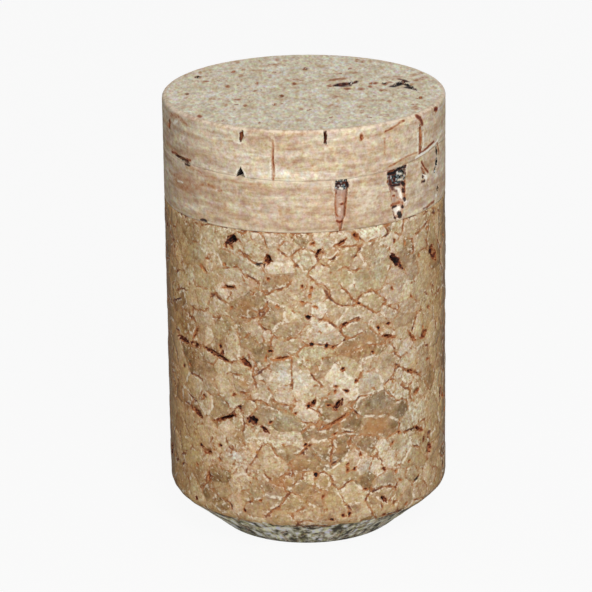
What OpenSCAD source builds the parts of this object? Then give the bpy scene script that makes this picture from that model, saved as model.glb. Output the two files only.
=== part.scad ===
// Sparkling-wine cork before bottling: an agglomerated cork body with two natural
// cork discs glued on its upper end. The foot has a wide bevel. All three pieces are
// ground together to one straight wall, so they share one outline.
// Origin: centre of the flat foot. +Z runs up the axis, and -Y is the front.
// Angles round the wall are counted from the front, positive towards +X.

/* [Cork] */
// Diameter of the straight wall
cork_d = 30.5; // [26:0.5:36]
// Overall height, from the foot to the top face
cork_h = 48.5; // [44:0.5:60]
// Rounding of the top rim
rim_r = 0.4; // [0.2:0.1:1]

/* [Foot bevel] */
// Diameter of the flat foot that the cork stands on
foot_d = 19.5; // [16:0.5:22]
// Height of the bevel, measured to where it would meet the wall
bevel_h = 4.5; // [2.5:0.1:6]
// Rounding between the bevel and the wall
bevel_r = 1.6; // [0.6:0.1:2.4]

/* [Discs] */
// Thickness of the outer disc on the axis
outer_disc_t = 5.2; // [4:0.1:7]
// Thickness of the inner disc on the axis
inner_disc_t = 5.9; // [4:0.1:7]
// Slant of the glued joints, higher towards +X
joint_tilt = 0.5; // [0:0.1:1.5]
// Depth of the small groove that the broken edges leave at each joint
joint_groove = 0.12; // [0.05:0.01:0.3]

/* [Pores] */
// Depth of the fine pores, grooves and cracks in the wall
fine_depth = 0.6; // [0.3:0.1:1]
// Depth of the deep pits where a piece of cork is missing
pit_depth = 1.3; // [0.8:0.1:2]
// Depth of the two wide pockets in the inner disc
pocket_depth = 0.6; // [0.4:0.1:2.5]
// Depth of the holes in the top face
top_depth = 1.2; // [0.4:0.1:2.5]

/* [Hidden] */
$fn = 96;

wall_r = cork_d / 2;
foot_r = foot_d / 2;
upper_joint_z = cork_h - outer_disc_t;
lower_joint_z = upper_joint_z - inner_disc_t;
beyond = 4 * max(cork_d, cork_h); // larger than the cork in every direction
arc_steps = 8;
outline_step = 30; // degrees between the points of a pore's outline

// Slope of the bevel below the wall, as the angle between its face and the axis
bevel_angle = atan2(wall_r - foot_r, bevel_h);
round_r = min(bevel_r, 0.9 * bevel_h / tan(bevel_angle / 2));
round_z = bevel_h + round_r * tan(bevel_angle / 2);

// A wall pore is [angle, share of the piece's wall height, width, length, taper, slant, depth].
// Taper widens the upper end (above 0) or the lower end (below 0), and slant leans
// the upper end towards +X. Shares keep each pore on its piece when the sizes change.
body_pores = [
  [-31, 0.965, 0.9, 1.5, 0.2, 42, pit_depth],
  [-15, 0.920, 0.8, 1.1, -0.4, -10, pit_depth],
  [5, 0.940, 0.5, 0.9, 0.0, 30, pit_depth],
  [14.3, 0.965, 0.4, 0.8, 0.0, 65, fine_depth],
  [20.5, 0.978, 0.5, 1.0, 0.3, -20, fine_depth],
  [38.7, 0.885, 0.8, 2.0, 0.0, -42, pit_depth],
  [63.5, 0.861, 1.2, 2.1, 0.2, -40, pit_depth],
  [-45.5, 0.858, 0.4, 1.3, 0.0, -55, fine_depth],
  [-32.3, 0.821, 0.4, 1.5, 0.0, 80, fine_depth],
  [0.8, 0.750, 0.5, 0.5, 0.0, 0, fine_depth],
  [15.4, 0.722, 0.4, 0.7, 0.0, 70, fine_depth],
  [35, 0.664, 0.4, 1.3, 0.0, -75, pit_depth],
  [-51.5, 0.652, 0.4, 1.5, 0.0, 35, fine_depth],
  [48, 0.639, 0.3, 1.3, 0.0, -42, fine_depth],
  [55.6, 0.634, 0.6, 1.3, 0.0, 60, fine_depth],
  [-9.8, 0.626, 0.4, 1.7, 0.0, 78, fine_depth],
  [-51.5, 0.618, 0.4, 1.6, 0.0, 85, pit_depth],
  [-61, 0.615, 0.5, 2.4, 0.2, 88, pit_depth],
  [-39, 0.608, 0.5, 2.9, 0.0, -74, pit_depth],
  [-25, 0.602, 0.7, 1.3, 0.2, -50, fine_depth],
  [46.6, 0.537, 0.4, 1.0, 0.0, -58, fine_depth],
  [2.4, 0.492, 0.4, 0.8, 0.0, 40, fine_depth],
  [12.4, 0.482, 0.7, 1.2, 0.0, 35, pit_depth],
  [50.3, 0.469, 0.4, 0.9, 0.0, 60, fine_depth],
  [12.6, 0.436, 0.3, 2.6, 0.0, 62, fine_depth],
  [-22.7, 0.430, 0.8, 1.2, 0.2, 80, pit_depth],
  [-35, 0.422, 0.4, 2.7, 0.0, 66, pit_depth],
  [-51, 0.409, 0.7, 1.5, 0.0, -65, pit_depth],
  [-17.7, 0.406, 0.4, 0.8, 0.0, -60, fine_depth],
  [52, 0.350, 0.4, 1.6, 0.0, -58, fine_depth],
  [-45.3, 0.299, 0.5, 1.2, 0.0, 70, pit_depth],
  [60, 0.273, 0.7, 1.2, 0.0, 10, pit_depth],
  [-45, 0.225, 0.4, 1.2, 0.0, 10, fine_depth],
  [32, 0.171, 0.4, 0.9, 0.0, -35, fine_depth],
];
inner_disc_pores = [
  [14.6, 1.00, 1.5, 11.2, 0.35, 0, pocket_depth],
  [39.5, 1.00, 2.5, 6.6, 0.20, 3, pocket_depth],
  [40.0, 0.33, 1.1, 3.2, 0.00, 5, pocket_depth],
  [56, 0.72, 0.3, 1.8, 0.0, -35, fine_depth],
  [66, 0.50, 0.6, 5.0, 0.0, 4, fine_depth],
];
outer_disc_pores = [
  [-26, 0.83, 0.5, 1.1, 0.0, 0, pit_depth],
  [-26, 0.09, 0.8, 1.1, -0.7, 0, pit_depth],
  [-12.5, 0.32, 0.3, 3.3, -0.3, 0, fine_depth],
  [8.5, 0.84, 0.4, 1.5, 0.0, 0, pit_depth],
  [24, 0.80, 0.4, 0.6, 0.0, 0, fine_depth],
  [53.5, 0.58, 0.5, 4.0, 0.0, 3, fine_depth],
  [66, 0.92, 0.5, 0.6, 0.0, 0, fine_depth],
  [-70, 0.60, 0.6, 1.2, 0.0, 0, pit_depth],
  [-59, 0.06, 0.3, 3.0, 0.0, -86, fine_depth],
];
// A hole in the top face is [x share, y share, width, length, slant, depth], with its
// place as shares of the wall's radius and its length running back from the front.
top_holes = [
  [0.300, 0.180, 1.1, 2.8, 62, top_depth],
  [0.680, 0.180, 0.7, 2.8, 27, top_depth],
  [0.750, 0.095, 0.6, 3.0, -20, top_depth],
  [-0.760, 0.405, 0.5, 0.9, 0, top_depth],
  [-0.505, 0.540, 0.5, 0.8, 10, top_depth],
  [0.015, 0.605, 0.4, 1.0, -5, top_depth],
  [0.575, 0.190, 0.5, 0.9, 0, top_depth],
  [0.480, 0.180, 0.4, 0.8, 30, top_depth],
  [-0.155, -0.110, 0.4, 0.9, 0, top_depth],
  [0.820, -0.195, 0.4, 0.9, 10, top_depth],
  [-0.330, 0.220, 0.3, 0.8, 0, top_depth],
  [-0.205, -0.320, 0.4, 0.6, 20, top_depth],
  [-0.820, -0.035, 0.3, 0.9, 0, top_depth],
];

function pore_outline(width, length, taper) = [
  for (t = [0 : outline_step : 360 - outline_step])
    [width / 2 * sin(t) * (1 + taper * cos(t)), length / 2 * cos(t)]
];

function outline_points() = concat(
  [[0, 0], [foot_r, 0]],
  [for (i = [arc_steps : -1 : 0])
    let (a = bevel_angle * i / arc_steps)
    [wall_r - round_r * (1 - cos(a)), round_z - round_r * sin(a)]],
  [for (i = [0 : arc_steps])
    let (a = 90 * i / arc_steps)
    [wall_r - rim_r * (1 - cos(a)), cork_h - rim_r * (1 - sin(a))]],
  [[0, cork_h]]
);

module blank() {
  rotate_extrude() polygon(outline_points());
}

// Places its children in the slanted plane of a joint
module at_joint(z) {
  translate([0, 0, z]) rotate([0, -joint_tilt, 0]) children();
}

// Everything above a joint's plane
module above_joint(z) {
  at_joint(z) translate([0, 0, beyond / 2]) cube(beyond, center = true);
}

// Everything below a joint's plane
module below_joint(z) {
  at_joint(z) translate([0, 0, -beyond / 2]) cube(beyond, center = true);
}

module joint_groove_ring(z) {
  at_joint(z)
    rotate_extrude()
      translate([wall_r, 0])
        circle(r = joint_groove, $fn = 4);
}

// A pore cut into the wall, from outside it to the given depth below it
module wall_pore(angle, z, width, length, taper, slant, depth) {
  rotate([0, 0, angle])
    translate([0, -wall_r + depth, z])
      rotate([90, 0, 0])
        rotate([0, 0, -slant])
          linear_extrude(2 * depth)
            polygon(pore_outline(width, length, taper));
}

module wall_pores(pores, base_z, height) {
  for (p = pores)
    wall_pore(p[0], base_z + p[1] * height, p[2], p[3], p[4], p[5], p[6]);
}

module top_hole(x_share, y_share, width, length, slant, depth) {
  translate([x_share * wall_r, y_share * wall_r, cork_h - depth])
    rotate([0, 0, -slant])
      linear_extrude(2 * depth)
        polygon(pore_outline(width, length, 0));
}

module agglomerated_body() {
  color("burlywood")
    difference() {
      blank();
      above_joint(lower_joint_z);
      joint_groove_ring(lower_joint_z);
      wall_pores(body_pores, 0, lower_joint_z);
    }
}

module inner_disc() {
  color("tan")
    difference() {
      blank();
      above_joint(upper_joint_z);
      below_joint(lower_joint_z);
      joint_groove_ring(lower_joint_z);
      joint_groove_ring(upper_joint_z);
      wall_pores(inner_disc_pores, lower_joint_z, inner_disc_t);
    }
}

module outer_disc() {
  color("wheat")
    difference() {
      blank();
      below_joint(upper_joint_z);
      joint_groove_ring(upper_joint_z);
      wall_pores(outer_disc_pores, upper_joint_z, outer_disc_t);
      for (h = top_holes)
        top_hole(h[0], h[1], h[2], h[3], h[4], h[5]);
    }
}

agglomerated_body();
inner_disc();
outer_disc();
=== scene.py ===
"""Sparkling-wine cork: the finished surfaces of its three glued pieces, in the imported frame.

Each piece is a dense mesh whose vertices lie along the borders of the cork granules and the
rims of the pores, so that grooves, pits and pockets are real relief. Materials read what the
mesh knows about each place, such as its distance to a granule border, from attributes.

Lengths are in millimetres until a mesh is written, and angles in degrees. The cork's wall is
drawn unrolled: u runs round it from the front, positive towards +X, and w runs up it and is
the height z on the straight wall.
"""

import math

import bmesh
import bpy
import numpy as np
from mathutils import Matrix, Vector, kdtree
from mathutils.geometry import delaunay_2d_cdt


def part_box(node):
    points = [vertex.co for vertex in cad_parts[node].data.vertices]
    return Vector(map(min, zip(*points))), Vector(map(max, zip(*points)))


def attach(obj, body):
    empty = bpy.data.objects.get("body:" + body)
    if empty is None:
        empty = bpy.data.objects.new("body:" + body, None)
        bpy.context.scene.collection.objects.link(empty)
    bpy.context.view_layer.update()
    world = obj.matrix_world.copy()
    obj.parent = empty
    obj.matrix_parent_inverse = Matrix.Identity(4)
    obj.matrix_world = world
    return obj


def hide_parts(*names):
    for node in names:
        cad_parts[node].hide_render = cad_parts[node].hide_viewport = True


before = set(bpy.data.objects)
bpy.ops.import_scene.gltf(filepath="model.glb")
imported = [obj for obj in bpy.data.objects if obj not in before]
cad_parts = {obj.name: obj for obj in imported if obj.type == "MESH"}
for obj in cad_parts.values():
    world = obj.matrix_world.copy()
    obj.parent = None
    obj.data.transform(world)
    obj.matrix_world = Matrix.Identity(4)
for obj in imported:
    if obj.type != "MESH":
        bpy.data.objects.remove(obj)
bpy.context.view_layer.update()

MM = 0.001
TINY = 1e-6          # in metres; what is nearer than this touches
FAR = 99.0           # farther than anything on the cork

# ---------------------------------------------------------------- sizes, from the frame

BODY, INNER, OUTER = "agglomerated_body", "inner_disc", "outer_disc"
body_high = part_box(BODY)[1] / MM
inner_low, inner_high = (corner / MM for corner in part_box(INNER))
outer_low, outer_high = (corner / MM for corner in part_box(OUTER))

wall_r = outer_high.x
cork_h = outer_high.z
lower_joint_z = (body_high.z + inner_low.z) / 2
upper_joint_z = (inner_high.z + outer_low.z) / 2
joint_slope = (body_high.z - inner_low.z) / (2 * wall_r)
foot_r = max(v.co.xy.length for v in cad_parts[BODY].data.vertices if v.co.z < TINY) / MM
around = 2 * math.pi * wall_r

bevel_h = 4.5        # height of the foot's bevel, measured to where it would meet the wall
bevel_r = 1.6        # rounding between the bevel and the wall
rim_r = 0.4          # rounding of the top rim
STRAIGHT_FROM = 10   # the body's wall is straight from this height up
MID_WALL = 20        # a height on the straight part

# ---------------------------------------------------------------- numbers and noise


def smooth_step(low, high, value):
    """0 below low, 1 above high, and an even slope between; high may lie below low."""
    share = np.clip((value - low) / (high - low), 0, 1)
    return share * share * (3 - 2 * share)


def lattice_noise(points, size, seed):
    """Smooth noise from -1 to 1 at points (N x 3), with features about size across."""
    place = np.asarray(points, float) / size
    cell = np.floor(place).astype(np.int64)
    part = place - cell
    part = part * part * (3 - 2 * part)
    total = np.zeros(len(place))
    for corner in range(8):
        step = np.array([corner & 1, corner >> 1 & 1, corner >> 2 & 1])
        weight = np.prod(np.where(step, part, 1 - part), axis=1)
        total += weight * hashed(cell + step, seed)
    return total


HASH_RANGE = 65521       # a prime


def hashed(cells, seed):
    """A fixed random number from -1 to 1 for each row of whole numbers."""
    primes = np.array([73856093, 19349663, 83492791], np.uint64)[:cells.shape[1]]
    key = (cells.astype(np.uint64) * primes).sum(axis=1, dtype=np.uint64)
    key += np.uint64(seed * 2654435761)
    for _ in range(2):
        key ^= key >> np.uint64(15)
        key *= np.uint64(0x2C1B3C6D297A2D39)
        key ^= key >> np.uint64(29)
    return (key % np.uint64(HASH_RANGE)).astype(float) / ((HASH_RANGE - 1) / 2) - 1


def layered_noise(points, size, seed, layers=3):
    """Noise with finer detail added layer by layer, scaled to run from about -1 to 1."""
    total = np.zeros(len(points))
    for layer in range(layers):
        total += lattice_noise(points, size / 2 ** layer, seed + layer) / 2 ** layer
    return total / 1.4


# ---------------------------------------------------------------- lathe outlines


class Outline:
    """A lathe outline measured along its surface, from its lower end to its upper end."""

    def __init__(self, points, wall_z):
        """points are (radius, height); wall_z is a height on the straight wall, where w = z."""
        self.r, self.z = np.array(points).T
        steps = np.hypot(np.diff(self.r), np.diff(self.z))
        along = np.concatenate(([0], np.cumsum(steps)))
        self.w = along - np.interp(wall_z, self.z, along) + wall_z
        self.normal_w = (self.w[1:] + self.w[:-1]) / 2
        self.normal_r = np.diff(self.z) / steps
        self.normal_z = -np.diff(self.r) / steps

    def place(self, w):
        """Radius, height and the outward normal's radial and upward parts at w."""
        radius, height = np.interp(w, self.w, self.r), np.interp(w, self.w, self.z)
        normal_r = np.interp(w, self.normal_w, self.normal_r)
        normal_z = np.interp(w, self.normal_w, self.normal_z)
        size = np.hypot(normal_r, normal_z)
        return radius, height, normal_r / size, normal_z / size


def arc(centre, radius, start, end, steps):
    """Points on an arc in (radius, height), from angle start to angle end."""
    angles = np.radians(np.linspace(start, end, steps + 1))
    return [(centre[0] + radius * math.cos(a), centre[1] + radius * math.sin(a)) for a in angles]


def body_outline():
    """The body's wall, the rounding under it and the bevel down to the flat foot."""
    bevel_angle = math.degrees(math.atan2(wall_r - foot_r, bevel_h))
    wall_end = bevel_h + bevel_r * math.tan(math.radians(bevel_angle / 2))
    rounding = arc((wall_r - bevel_r, wall_end), bevel_r, -bevel_angle, 0, 12)
    straight = [(wall_r, STRAIGHT_FROM), (wall_r, cork_h)]
    return Outline([(foot_r, 0)] + rounding + straight, MID_WALL)


def outer_outline():
    """The outer disc's wall, from a little below its joint, and its rounded rim."""
    rounding = arc((wall_r - rim_r, cork_h - rim_r), rim_r, 0, 90, 8)
    return Outline([(wall_r, upper_joint_z - 2)] + rounding, upper_joint_z)


# ---------------------------------------------------------------- pores and pits


PORE_EDGE = 0.35         # how far round a pore the cork is stained


def unrolled(angle):
    """The distance round the wall from the front, for an angle in degrees."""
    return wall_r * math.radians(angle)


class Pore:
    """A hole in a surface drawn flat. Its long axis leans with its upper end towards +u."""

    floor = 0.65         # share of the outline at which the pore's wall reaches its floor
    rings = 2            # rings of points from the rim down to the floor

    def __init__(self, u, w, width, length, taper, slant, depth, dark, square=2.0):
        """dark is how black the floor is, and a square above 2 makes the outline boxy."""
        self.centre = np.array([u, w])
        self.half_width, self.half_length = width / 2, length / 2
        self.taper, self.depth, self.dark, self.square = taper, depth, dark, square
        lean = math.radians(slant)
        self.along = np.array([math.sin(lean), math.cos(lean)])
        self.across = np.array([math.cos(lean), -math.sin(lean)])
        self.phase = u * 7 + w * 3      # differs from pore to pore, so that no two are torn alike

    def ragged(self, turns):
        """How far the torn rim stands from a smooth one, as a share of its size."""
        wave = 0.13 * np.sin(2 * turns + self.phase) + 0.09 * np.sin(5 * turns + 2.3 * self.phase)
        return 1 + wave + 0.06 * np.sin(9 * turns + 4.1 * self.phase)

    def sides(self, y):
        """The middle and half the width at a share y of the way up from the pore's centre."""
        return 0.0, self.half_width * np.maximum(1 + self.taper * y, 0.15)

    def outline(self, share, corners):
        """Points round the pore; share 1 is its rim and less lies inside it."""
        steps = np.arange(corners) / corners * 8
        x, y = (np.clip(np.abs((steps + ahead) % 8 - 4) - 2, -1, 1) for ahead in (0, 2))
        size = (np.abs(x) ** self.square + np.abs(y) ** self.square) ** (1 / self.square)
        x, y = x / size, y / size
        reach = share * self.ragged(np.arctan2(x, y))
        middle, half = self.sides(y * reach)
        return (self.centre + np.outer(middle + x * reach * half, self.across)
                + np.outer(y * reach * self.half_length, self.along))

    def share(self, places):
        """0 at the pore's middle, 1 on its rim and more outside it."""
        offset = places - self.centre
        y = offset @ self.along / self.half_length
        middle, half = self.sides(y)
        x = (offset @ self.across - middle) / half
        size = (np.abs(x) ** self.square + np.abs(y) ** self.square) ** (1 / self.square)
        return size / self.ragged(np.arctan2(x, y))


class Pocket(Pore):
    """A wide boxy hole with steep walls, whose two sides are given row by row."""

    floor = 0.93
    rings = 4

    def __init__(self, rows, depth, dark):
        """Each row is a height with the places of the left and the right side, from the top down."""
        self.rows = np.array(rows[::-1])
        middle = self.rows[:, 1:].mean()
        width = (self.rows[:, 2] - self.rows[:, 1]).max()
        low, high = self.rows[0, 0], self.rows[-1, 0]
        super().__init__(middle, (low + high) / 2, width, high - low, 0, 0, depth, dark, square=8)

    def ragged(self, turns):
        """How far the torn rim stands from the drawn one, as a share of its size."""
        return 1 + 0.03 * np.sin(9 * turns + self.phase) + 0.03 * np.sin(23 * turns + 2 * self.phase)

    def sides(self, y):
        """The middle and half the width at a share y of the way up from the pocket's centre."""
        w = self.centre[1] + y * self.half_length
        left, right = (np.interp(w, self.rows[:, 0], side) - self.centre[0] for side in self.rows[:, 1:].T)
        return (left + right) / 2, (right - left) / 2


def pore_values(pores, places):
    """How deep the pores sink each place, how dark they are, and how far in it lies.

    The last runs from 0 at PORE_EDGE outside a pore to 0.5 on its rim and 1 at its middle.
    """
    deep, dark, hole = np.zeros((3, len(places)))
    for pore in pores:
        reach = (pore.half_length + pore.half_width) * 1.3 + PORE_EDGE
        near = np.flatnonzero(np.abs(places - pore.centre).max(axis=1) < reach)
        share = pore.share(places[near])
        outside = (share - 1) * pore.half_width / PORE_EDGE
        within = np.clip(np.where(share < 1, 1 - share / 2, 0.5 - outside / 2), 0, 1)
        dark[near] = np.where(within > hole[near], pore.dark, dark[near])
        deep[near] = np.maximum(deep[near], smooth_step(1.0, pore.floor, share) * pore.depth)
        hole[near] = np.maximum(hole[near], within)
    return deep, dark, hole


# ---------------------------------------------------------------- drawing flat surfaces


class Drawing:
    """Points and lines on a flat surface, to be cut into triangles."""

    def __init__(self):
        self.points, self.pairs = [], []
        self.count = 0

    def add(self, points, pairs=()):
        """Adds points, and lines between some of them."""
        self.points.append(np.asarray(points, float).reshape(-1, 2))
        self.pairs.append(np.asarray(pairs, int).reshape(-1, 2) + self.count)
        self.count += len(self.points[-1])

    def chain(self, points, closed=False):
        """Adds points joined in order by lines."""
        number = np.arange(len(points))
        pairs = np.stack([number, np.roll(number, -1)], axis=1)
        self.add(points, pairs if closed else pairs[:-1])

    def triangles(self):
        """Corner places, triangles that follow every line, and the pairs of corners on lines."""
        places = np.round(np.concatenate(self.points), 4)      # what is drawn twice becomes one
        places, number = np.unique(places, axis=0, return_inverse=True)
        pairs = number.ravel()[np.concatenate(self.pairs)]
        pairs = pairs[pairs[:, 0] != pairs[:, 1]]
        found = delaunay_2d_cdt([Vector(place) for place in places], pairs.tolist(), [], 0, 1e-5, True)
        corners, sides, triangles, _, sources = found[:5]
        flats = np.array([tuple(corner) for corner in corners])
        drawn = [pair for pair, source in zip(sides, sources) if source]
        return flats, np.array(triangles), np.sort(np.array(drawn), axis=1)


ROW_SPACING = 0.866      # distance of staggered rows, as a share of the spacing in a row
JITTER = 0.2             # how far a scattered point may be moved, the same way


def scattered(low, high, spacing, rng):
    """Points over a rectangle in staggered rows, each moved a little from its place."""
    rows = np.arange(low[1], high[1], spacing * ROW_SPACING)
    columns = np.arange(low[0], high[0], spacing)
    u, w = np.meshgrid(columns, rows)
    u = u + (np.arange(len(rows)) % 2 * spacing / 2)[:, None]
    points = np.stack([u.ravel(), w.ravel()], axis=1)
    points += rng.uniform(-JITTER, JITTER, points.shape) * spacing
    above, below = points > np.array(low) + spacing / 2, points < np.array(high) - spacing / 2
    return points[np.all(above & below, axis=1)]


def one_per_square(points, size):
    """Drops points until no two lie in one small square."""
    squares = np.floor(points / size).astype(np.int64)
    _, first = np.unique(squares, axis=0, return_index=True)
    return points[np.sort(first)]


PORE_MARGIN = 0.3        # a loose point this far beyond half a pore's length can't crowd it
SMALL_PORE = 0.4         # a pore of at most this half length has few corners
FEW_CORNERS = 10


def draw_pores(drawing, pores, loose, corner_count, clear):
    """Draws the pores from rim to floor, and returns the loose points that don't crowd a pore's wall.

    clear says how far those stay inside its floor's edge and outside its rim, as shares of
    its outline.
    """
    inward, outward = clear
    for pore in pores:
        for share in np.linspace(1.0, pore.floor, pore.rings):
            drawing.chain(pore.outline(share, corner_count(pore)), closed=True)
        far = np.abs(loose - pore.centre).max(axis=1) >= pore.half_length + PORE_MARGIN
        share = pore.share(loose)
        loose = loose[far | (share < pore.floor - inward) | (share > 1 + outward)]
    return loose


def search_tree(points):
    """A tree that finds the nearest of some flat points."""
    tree = kdtree.KDTree(len(points))
    for number, point in enumerate(points):
        tree.insert((point[0], point[1], 0), number)
    tree.balance()
    return tree


def nearest_in(tree, points):
    """For each point, the number of the nearest point in the tree and the distance to it."""
    found = [tree.find((p[0], p[1], 0)) for p in points]
    return np.array([f[1] for f in found]), np.array([f[2] for f in found])


# ---------------------------------------------------------------- the granules of the body

ROUGH_BORDERS = 0.35     # how far the granules' borders wander
CRACK_SLOWING = 1.2      # how much a crack holds a granule back, as a length


class GranuleMap:
    """Which granule holds each place of the unrolled body, on a fine grid of samples.

    Granules grow from their spines at one speed until they meet. A crack slows them, so
    that two granules meet along it.
    """

    def __init__(self, width, low_w, high_w, step, ground):
        """The surface is width round. ground gives the solid place of flat points, for the noise."""
        self.columns = round(width / step)
        self.rows = int((high_w - low_w) / step) + 1
        self.step_u, self.step_w = width / self.columns, step
        self.first_u, self.first_w = -width / 2 + self.step_u / 2, low_w
        u, w = np.meshgrid(self.first_u + np.arange(self.columns) * self.step_u,
                           low_w + np.arange(self.rows) * step, indexing="ij")
        solid = ground(np.stack([u.ravel(), w.ravel()], axis=1))
        rough = lattice_noise(solid, 0.55, 11) + 0.6 * lattice_noise(solid, 1.7, 12)
        self.slow = np.exp(ROUGH_BORDERS * rough).reshape(u.shape)
        self.wall = np.zeros(u.shape)
        self.distance = np.full(u.shape, FAR)
        self.owner = np.full(u.shape, -1)
        self.count = 0

    def samples(self, points):
        """Column and row of the sample nearest to each point."""
        k = np.round((points[:, 0] - self.first_u) / self.step_u).astype(int) % self.columns
        r = np.round((points[:, 1] - self.first_w) / self.step_w).astype(int)
        return k, np.clip(r, 0, self.rows - 1)

    def plant(self, spine):
        """Starts a granule along a spine and returns its number."""
        k, r = self.samples(subdivided(spine, self.step_w / 2))
        self.distance[k, r] = 0
        self.owner[k, r] = self.count
        self.count += 1
        return self.count - 1

    def add_wall(self, line):
        """Slows the granules across a crack."""
        self.wall[self.samples(subdivided(line, self.step_w / 4))] = CRACK_SLOWING

    def grow(self, rounds):
        """Lets the granules grow for a number of rounds."""
        steps = [(dk, dr) for dk in (-1, 0, 1) for dr in (-1, 0, 1) if dk or dr]
        for _ in range(rounds):
            for dk, dr in steps:
                length = math.hypot(dk * self.step_u, dr * self.step_w)
                rows = slice(max(dr, 0), self.rows + min(dr, 0))
                source = slice(max(-dr, 0), self.rows + min(-dr, 0))
                from_there = np.roll(self.distance, dk, axis=0)[:, source]
                slow_there = np.roll(self.slow, dk, axis=0)[:, source]
                cost = length * (slow_there + self.slow[:, rows]) / 2 + self.wall[:, rows]
                reached = from_there + cost
                wins = reached < self.distance[:, rows]
                owner_there = np.roll(self.owner, dk, axis=0)[:, source]
                self.owner[:, rows] = np.where(wins, owner_there, self.owner[:, rows])
                self.distance[:, rows] = np.where(wins, reached, self.distance[:, rows])

    def owners(self, points):
        """The granule at each point."""
        return self.owner[self.samples(points)]

    def borders(self):
        """Points on the granules' borders, the lines that join them, and each point's granules."""
        pace = self.step_w * 2
        right = np.roll(self.owner, -1, axis=0)
        right_distance = np.roll(self.distance, -1, axis=0)
        share_u = np.clip(0.5 + (right_distance - self.distance) / pace, 0.1, 0.9)
        share_w = np.clip(0.5 + (self.distance[:, 1:] - self.distance[:, :-1]) / pace, 0.1, 0.9)
        split_u = self.owner != right
        split_w = self.owner[:, :-1] != self.owner[:, 1:]
        k, r = np.meshgrid(np.arange(self.columns), np.arange(self.rows - 1), indexing="ij")
        total = np.zeros(k.shape + (2,))
        count = np.zeros(k.shape)
        for shift in (0, 1):      # the lower and the upper side of each square of samples
            side = slice(shift, self.rows - 1 + shift)
            cut = split_u[:, side]
            total[..., 0] += np.where(cut, k + share_u[:, side], 0)
            total[..., 1] += np.where(cut, r + shift, 0)
            count += cut
        for shift in (0, 1):      # the left and the right side of each square
            cut = np.roll(split_w, -shift, axis=0)
            total[..., 0] += np.where(cut, k + shift, 0)
            total[..., 1] += np.where(cut, r + np.roll(share_w, -shift, axis=0), 0)
            count += cut
        used = count > 0
        number = np.cumsum(used.ravel()).reshape(used.shape) - 1
        points = total[used] / count[used][:, None] * (self.step_u, self.step_w)
        points = points + (self.first_u, self.first_w)
        corners = np.stack([self.owner[:, :-1], self.owner[:, 1:], right[:, :-1], right[:, 1:]], axis=-1)
        k_cut, r_cut = np.nonzero(split_u[:, 1:-1])
        upright = np.stack([number[k_cut, r_cut], number[k_cut, r_cut + 1]], axis=1)
        k_cut, r_cut = np.nonzero(split_w)
        level = np.stack([number[k_cut, r_cut], number[(k_cut - 1) % self.columns, r_cut]], axis=1)
        return points, np.concatenate([upright, level]), np.sort(corners[used], axis=1)


def subdivided(line, spacing):
    """Points along a line of corners, at most a spacing apart."""
    line = np.asarray(line, float).reshape(-1, 2)
    parts = [line[:1]]
    for start, end in zip(line[:-1], line[1:]):
        steps = max(1, math.ceil(math.dist(start, end) / spacing))
        parts.append(start + (end - start) * (np.arange(1, steps + 1) / steps)[:, None])
    return np.concatenate(parts)


# ---------------------------------------------------------------- the body's marks

# All are placed by u and w. The bevel runs from w = -2.5 at the foot up to 3.8, and its rounding
# up to 5.3.

PIT, FINE, POCKET = 1.3, 0.6, 0.6     # depths of the deeper and finer pores, and of the two pockets

# Larger pores: angle, height, width, length, taper, slant, depth, darkness.
BODY_PORES = [
    (-31, 36.1, 0.9, 1.5, 0.2, 42, PIT, 1), (-15, 34.4, 0.8, 1.1, -0.4, -10, PIT, 0.75),
    (5, 35.15, 0.5, 0.9, 0, 30, PIT, 0.8), (14.3, 36.1, 0.4, 0.8, 0, 65, FINE, 0.75),
    (20.5, 36.6, 0.5, 1.0, 0.3, -20, FINE, 0.5), (38.7, 33.1, 0.8, 2.0, 0, -42, PIT, 1),
    (63.5, 32.2, 1.2, 2.1, 0.2, -40, PIT, 0.8), (-45.5, 32.1, 0.4, 1.3, 0, -55, FINE, 0.5),
    (-32.3, 30.7, 0.4, 1.5, 0, 80, FINE, 0.65), (0.8, 28.05, 0.5, 0.5, 0, 0, FINE, 1),
    (15.4, 27.0, 0.4, 0.7, 0, 70, FINE, 0.85), (35, 24.85, 0.4, 1.3, 0, -75, PIT, 0.75),
    (-51.5, 24.4, 0.4, 1.5, 0, 35, FINE, 0.55), (48, 23.9, 0.3, 1.3, 0, -42, FINE, 0.65),
    (55.6, 23.7, 0.6, 1.3, 0, 60, FINE, 0.7), (-9.8, 23.4, 0.4, 1.7, 0, 78, FINE, 0.4),
    (-51.5, 23.1, 0.4, 1.6, 0, 85, PIT, 0.85), (-61, 23.0, 0.5, 2.4, 0.2, 88, PIT, 0.85),
    (-39, 22.75, 0.5, 2.9, 0, -74, PIT, 0.9), (-25, 22.5, 0.7, 1.3, 0.2, -50, FINE, 0.7),
    (46.6, 20.1, 0.4, 1.0, 0, -58, FINE, 0.7), (2.4, 18.4, 0.4, 0.8, 0, 40, FINE, 0.8),
    (12.4, 18.0, 0.7, 1.2, 0, 35, PIT, 0.9), (50.3, 17.55, 0.4, 0.9, 0, 60, FINE, 0.65),
    (12.6, 16.3, 0.3, 2.6, 0, 62, FINE, 0.6), (-22.7, 16.1, 0.8, 1.2, 0.2, 80, PIT, 1),
    (-35, 15.8, 0.4, 2.7, 0, 66, PIT, 0.8), (-51, 15.3, 0.7, 1.5, 0, -65, PIT, 0.8),
    (-17.7, 15.2, 0.4, 0.8, 0, -60, FINE, 0.9), (52, 13.1, 0.4, 1.6, 0, -58, FINE, 0.7),
    (-45.3, 11.2, 0.5, 1.2, 0, 70, PIT, 0.65), (60, 10.2, 0.7, 1.2, 0, 10, PIT, 0.8),
    (-45, 8.4, 0.4, 1.2, 0, 10, FINE, 0.65), (32, 6.4, 0.4, 0.9, 0, -35, FINE, 0.9),
]

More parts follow.
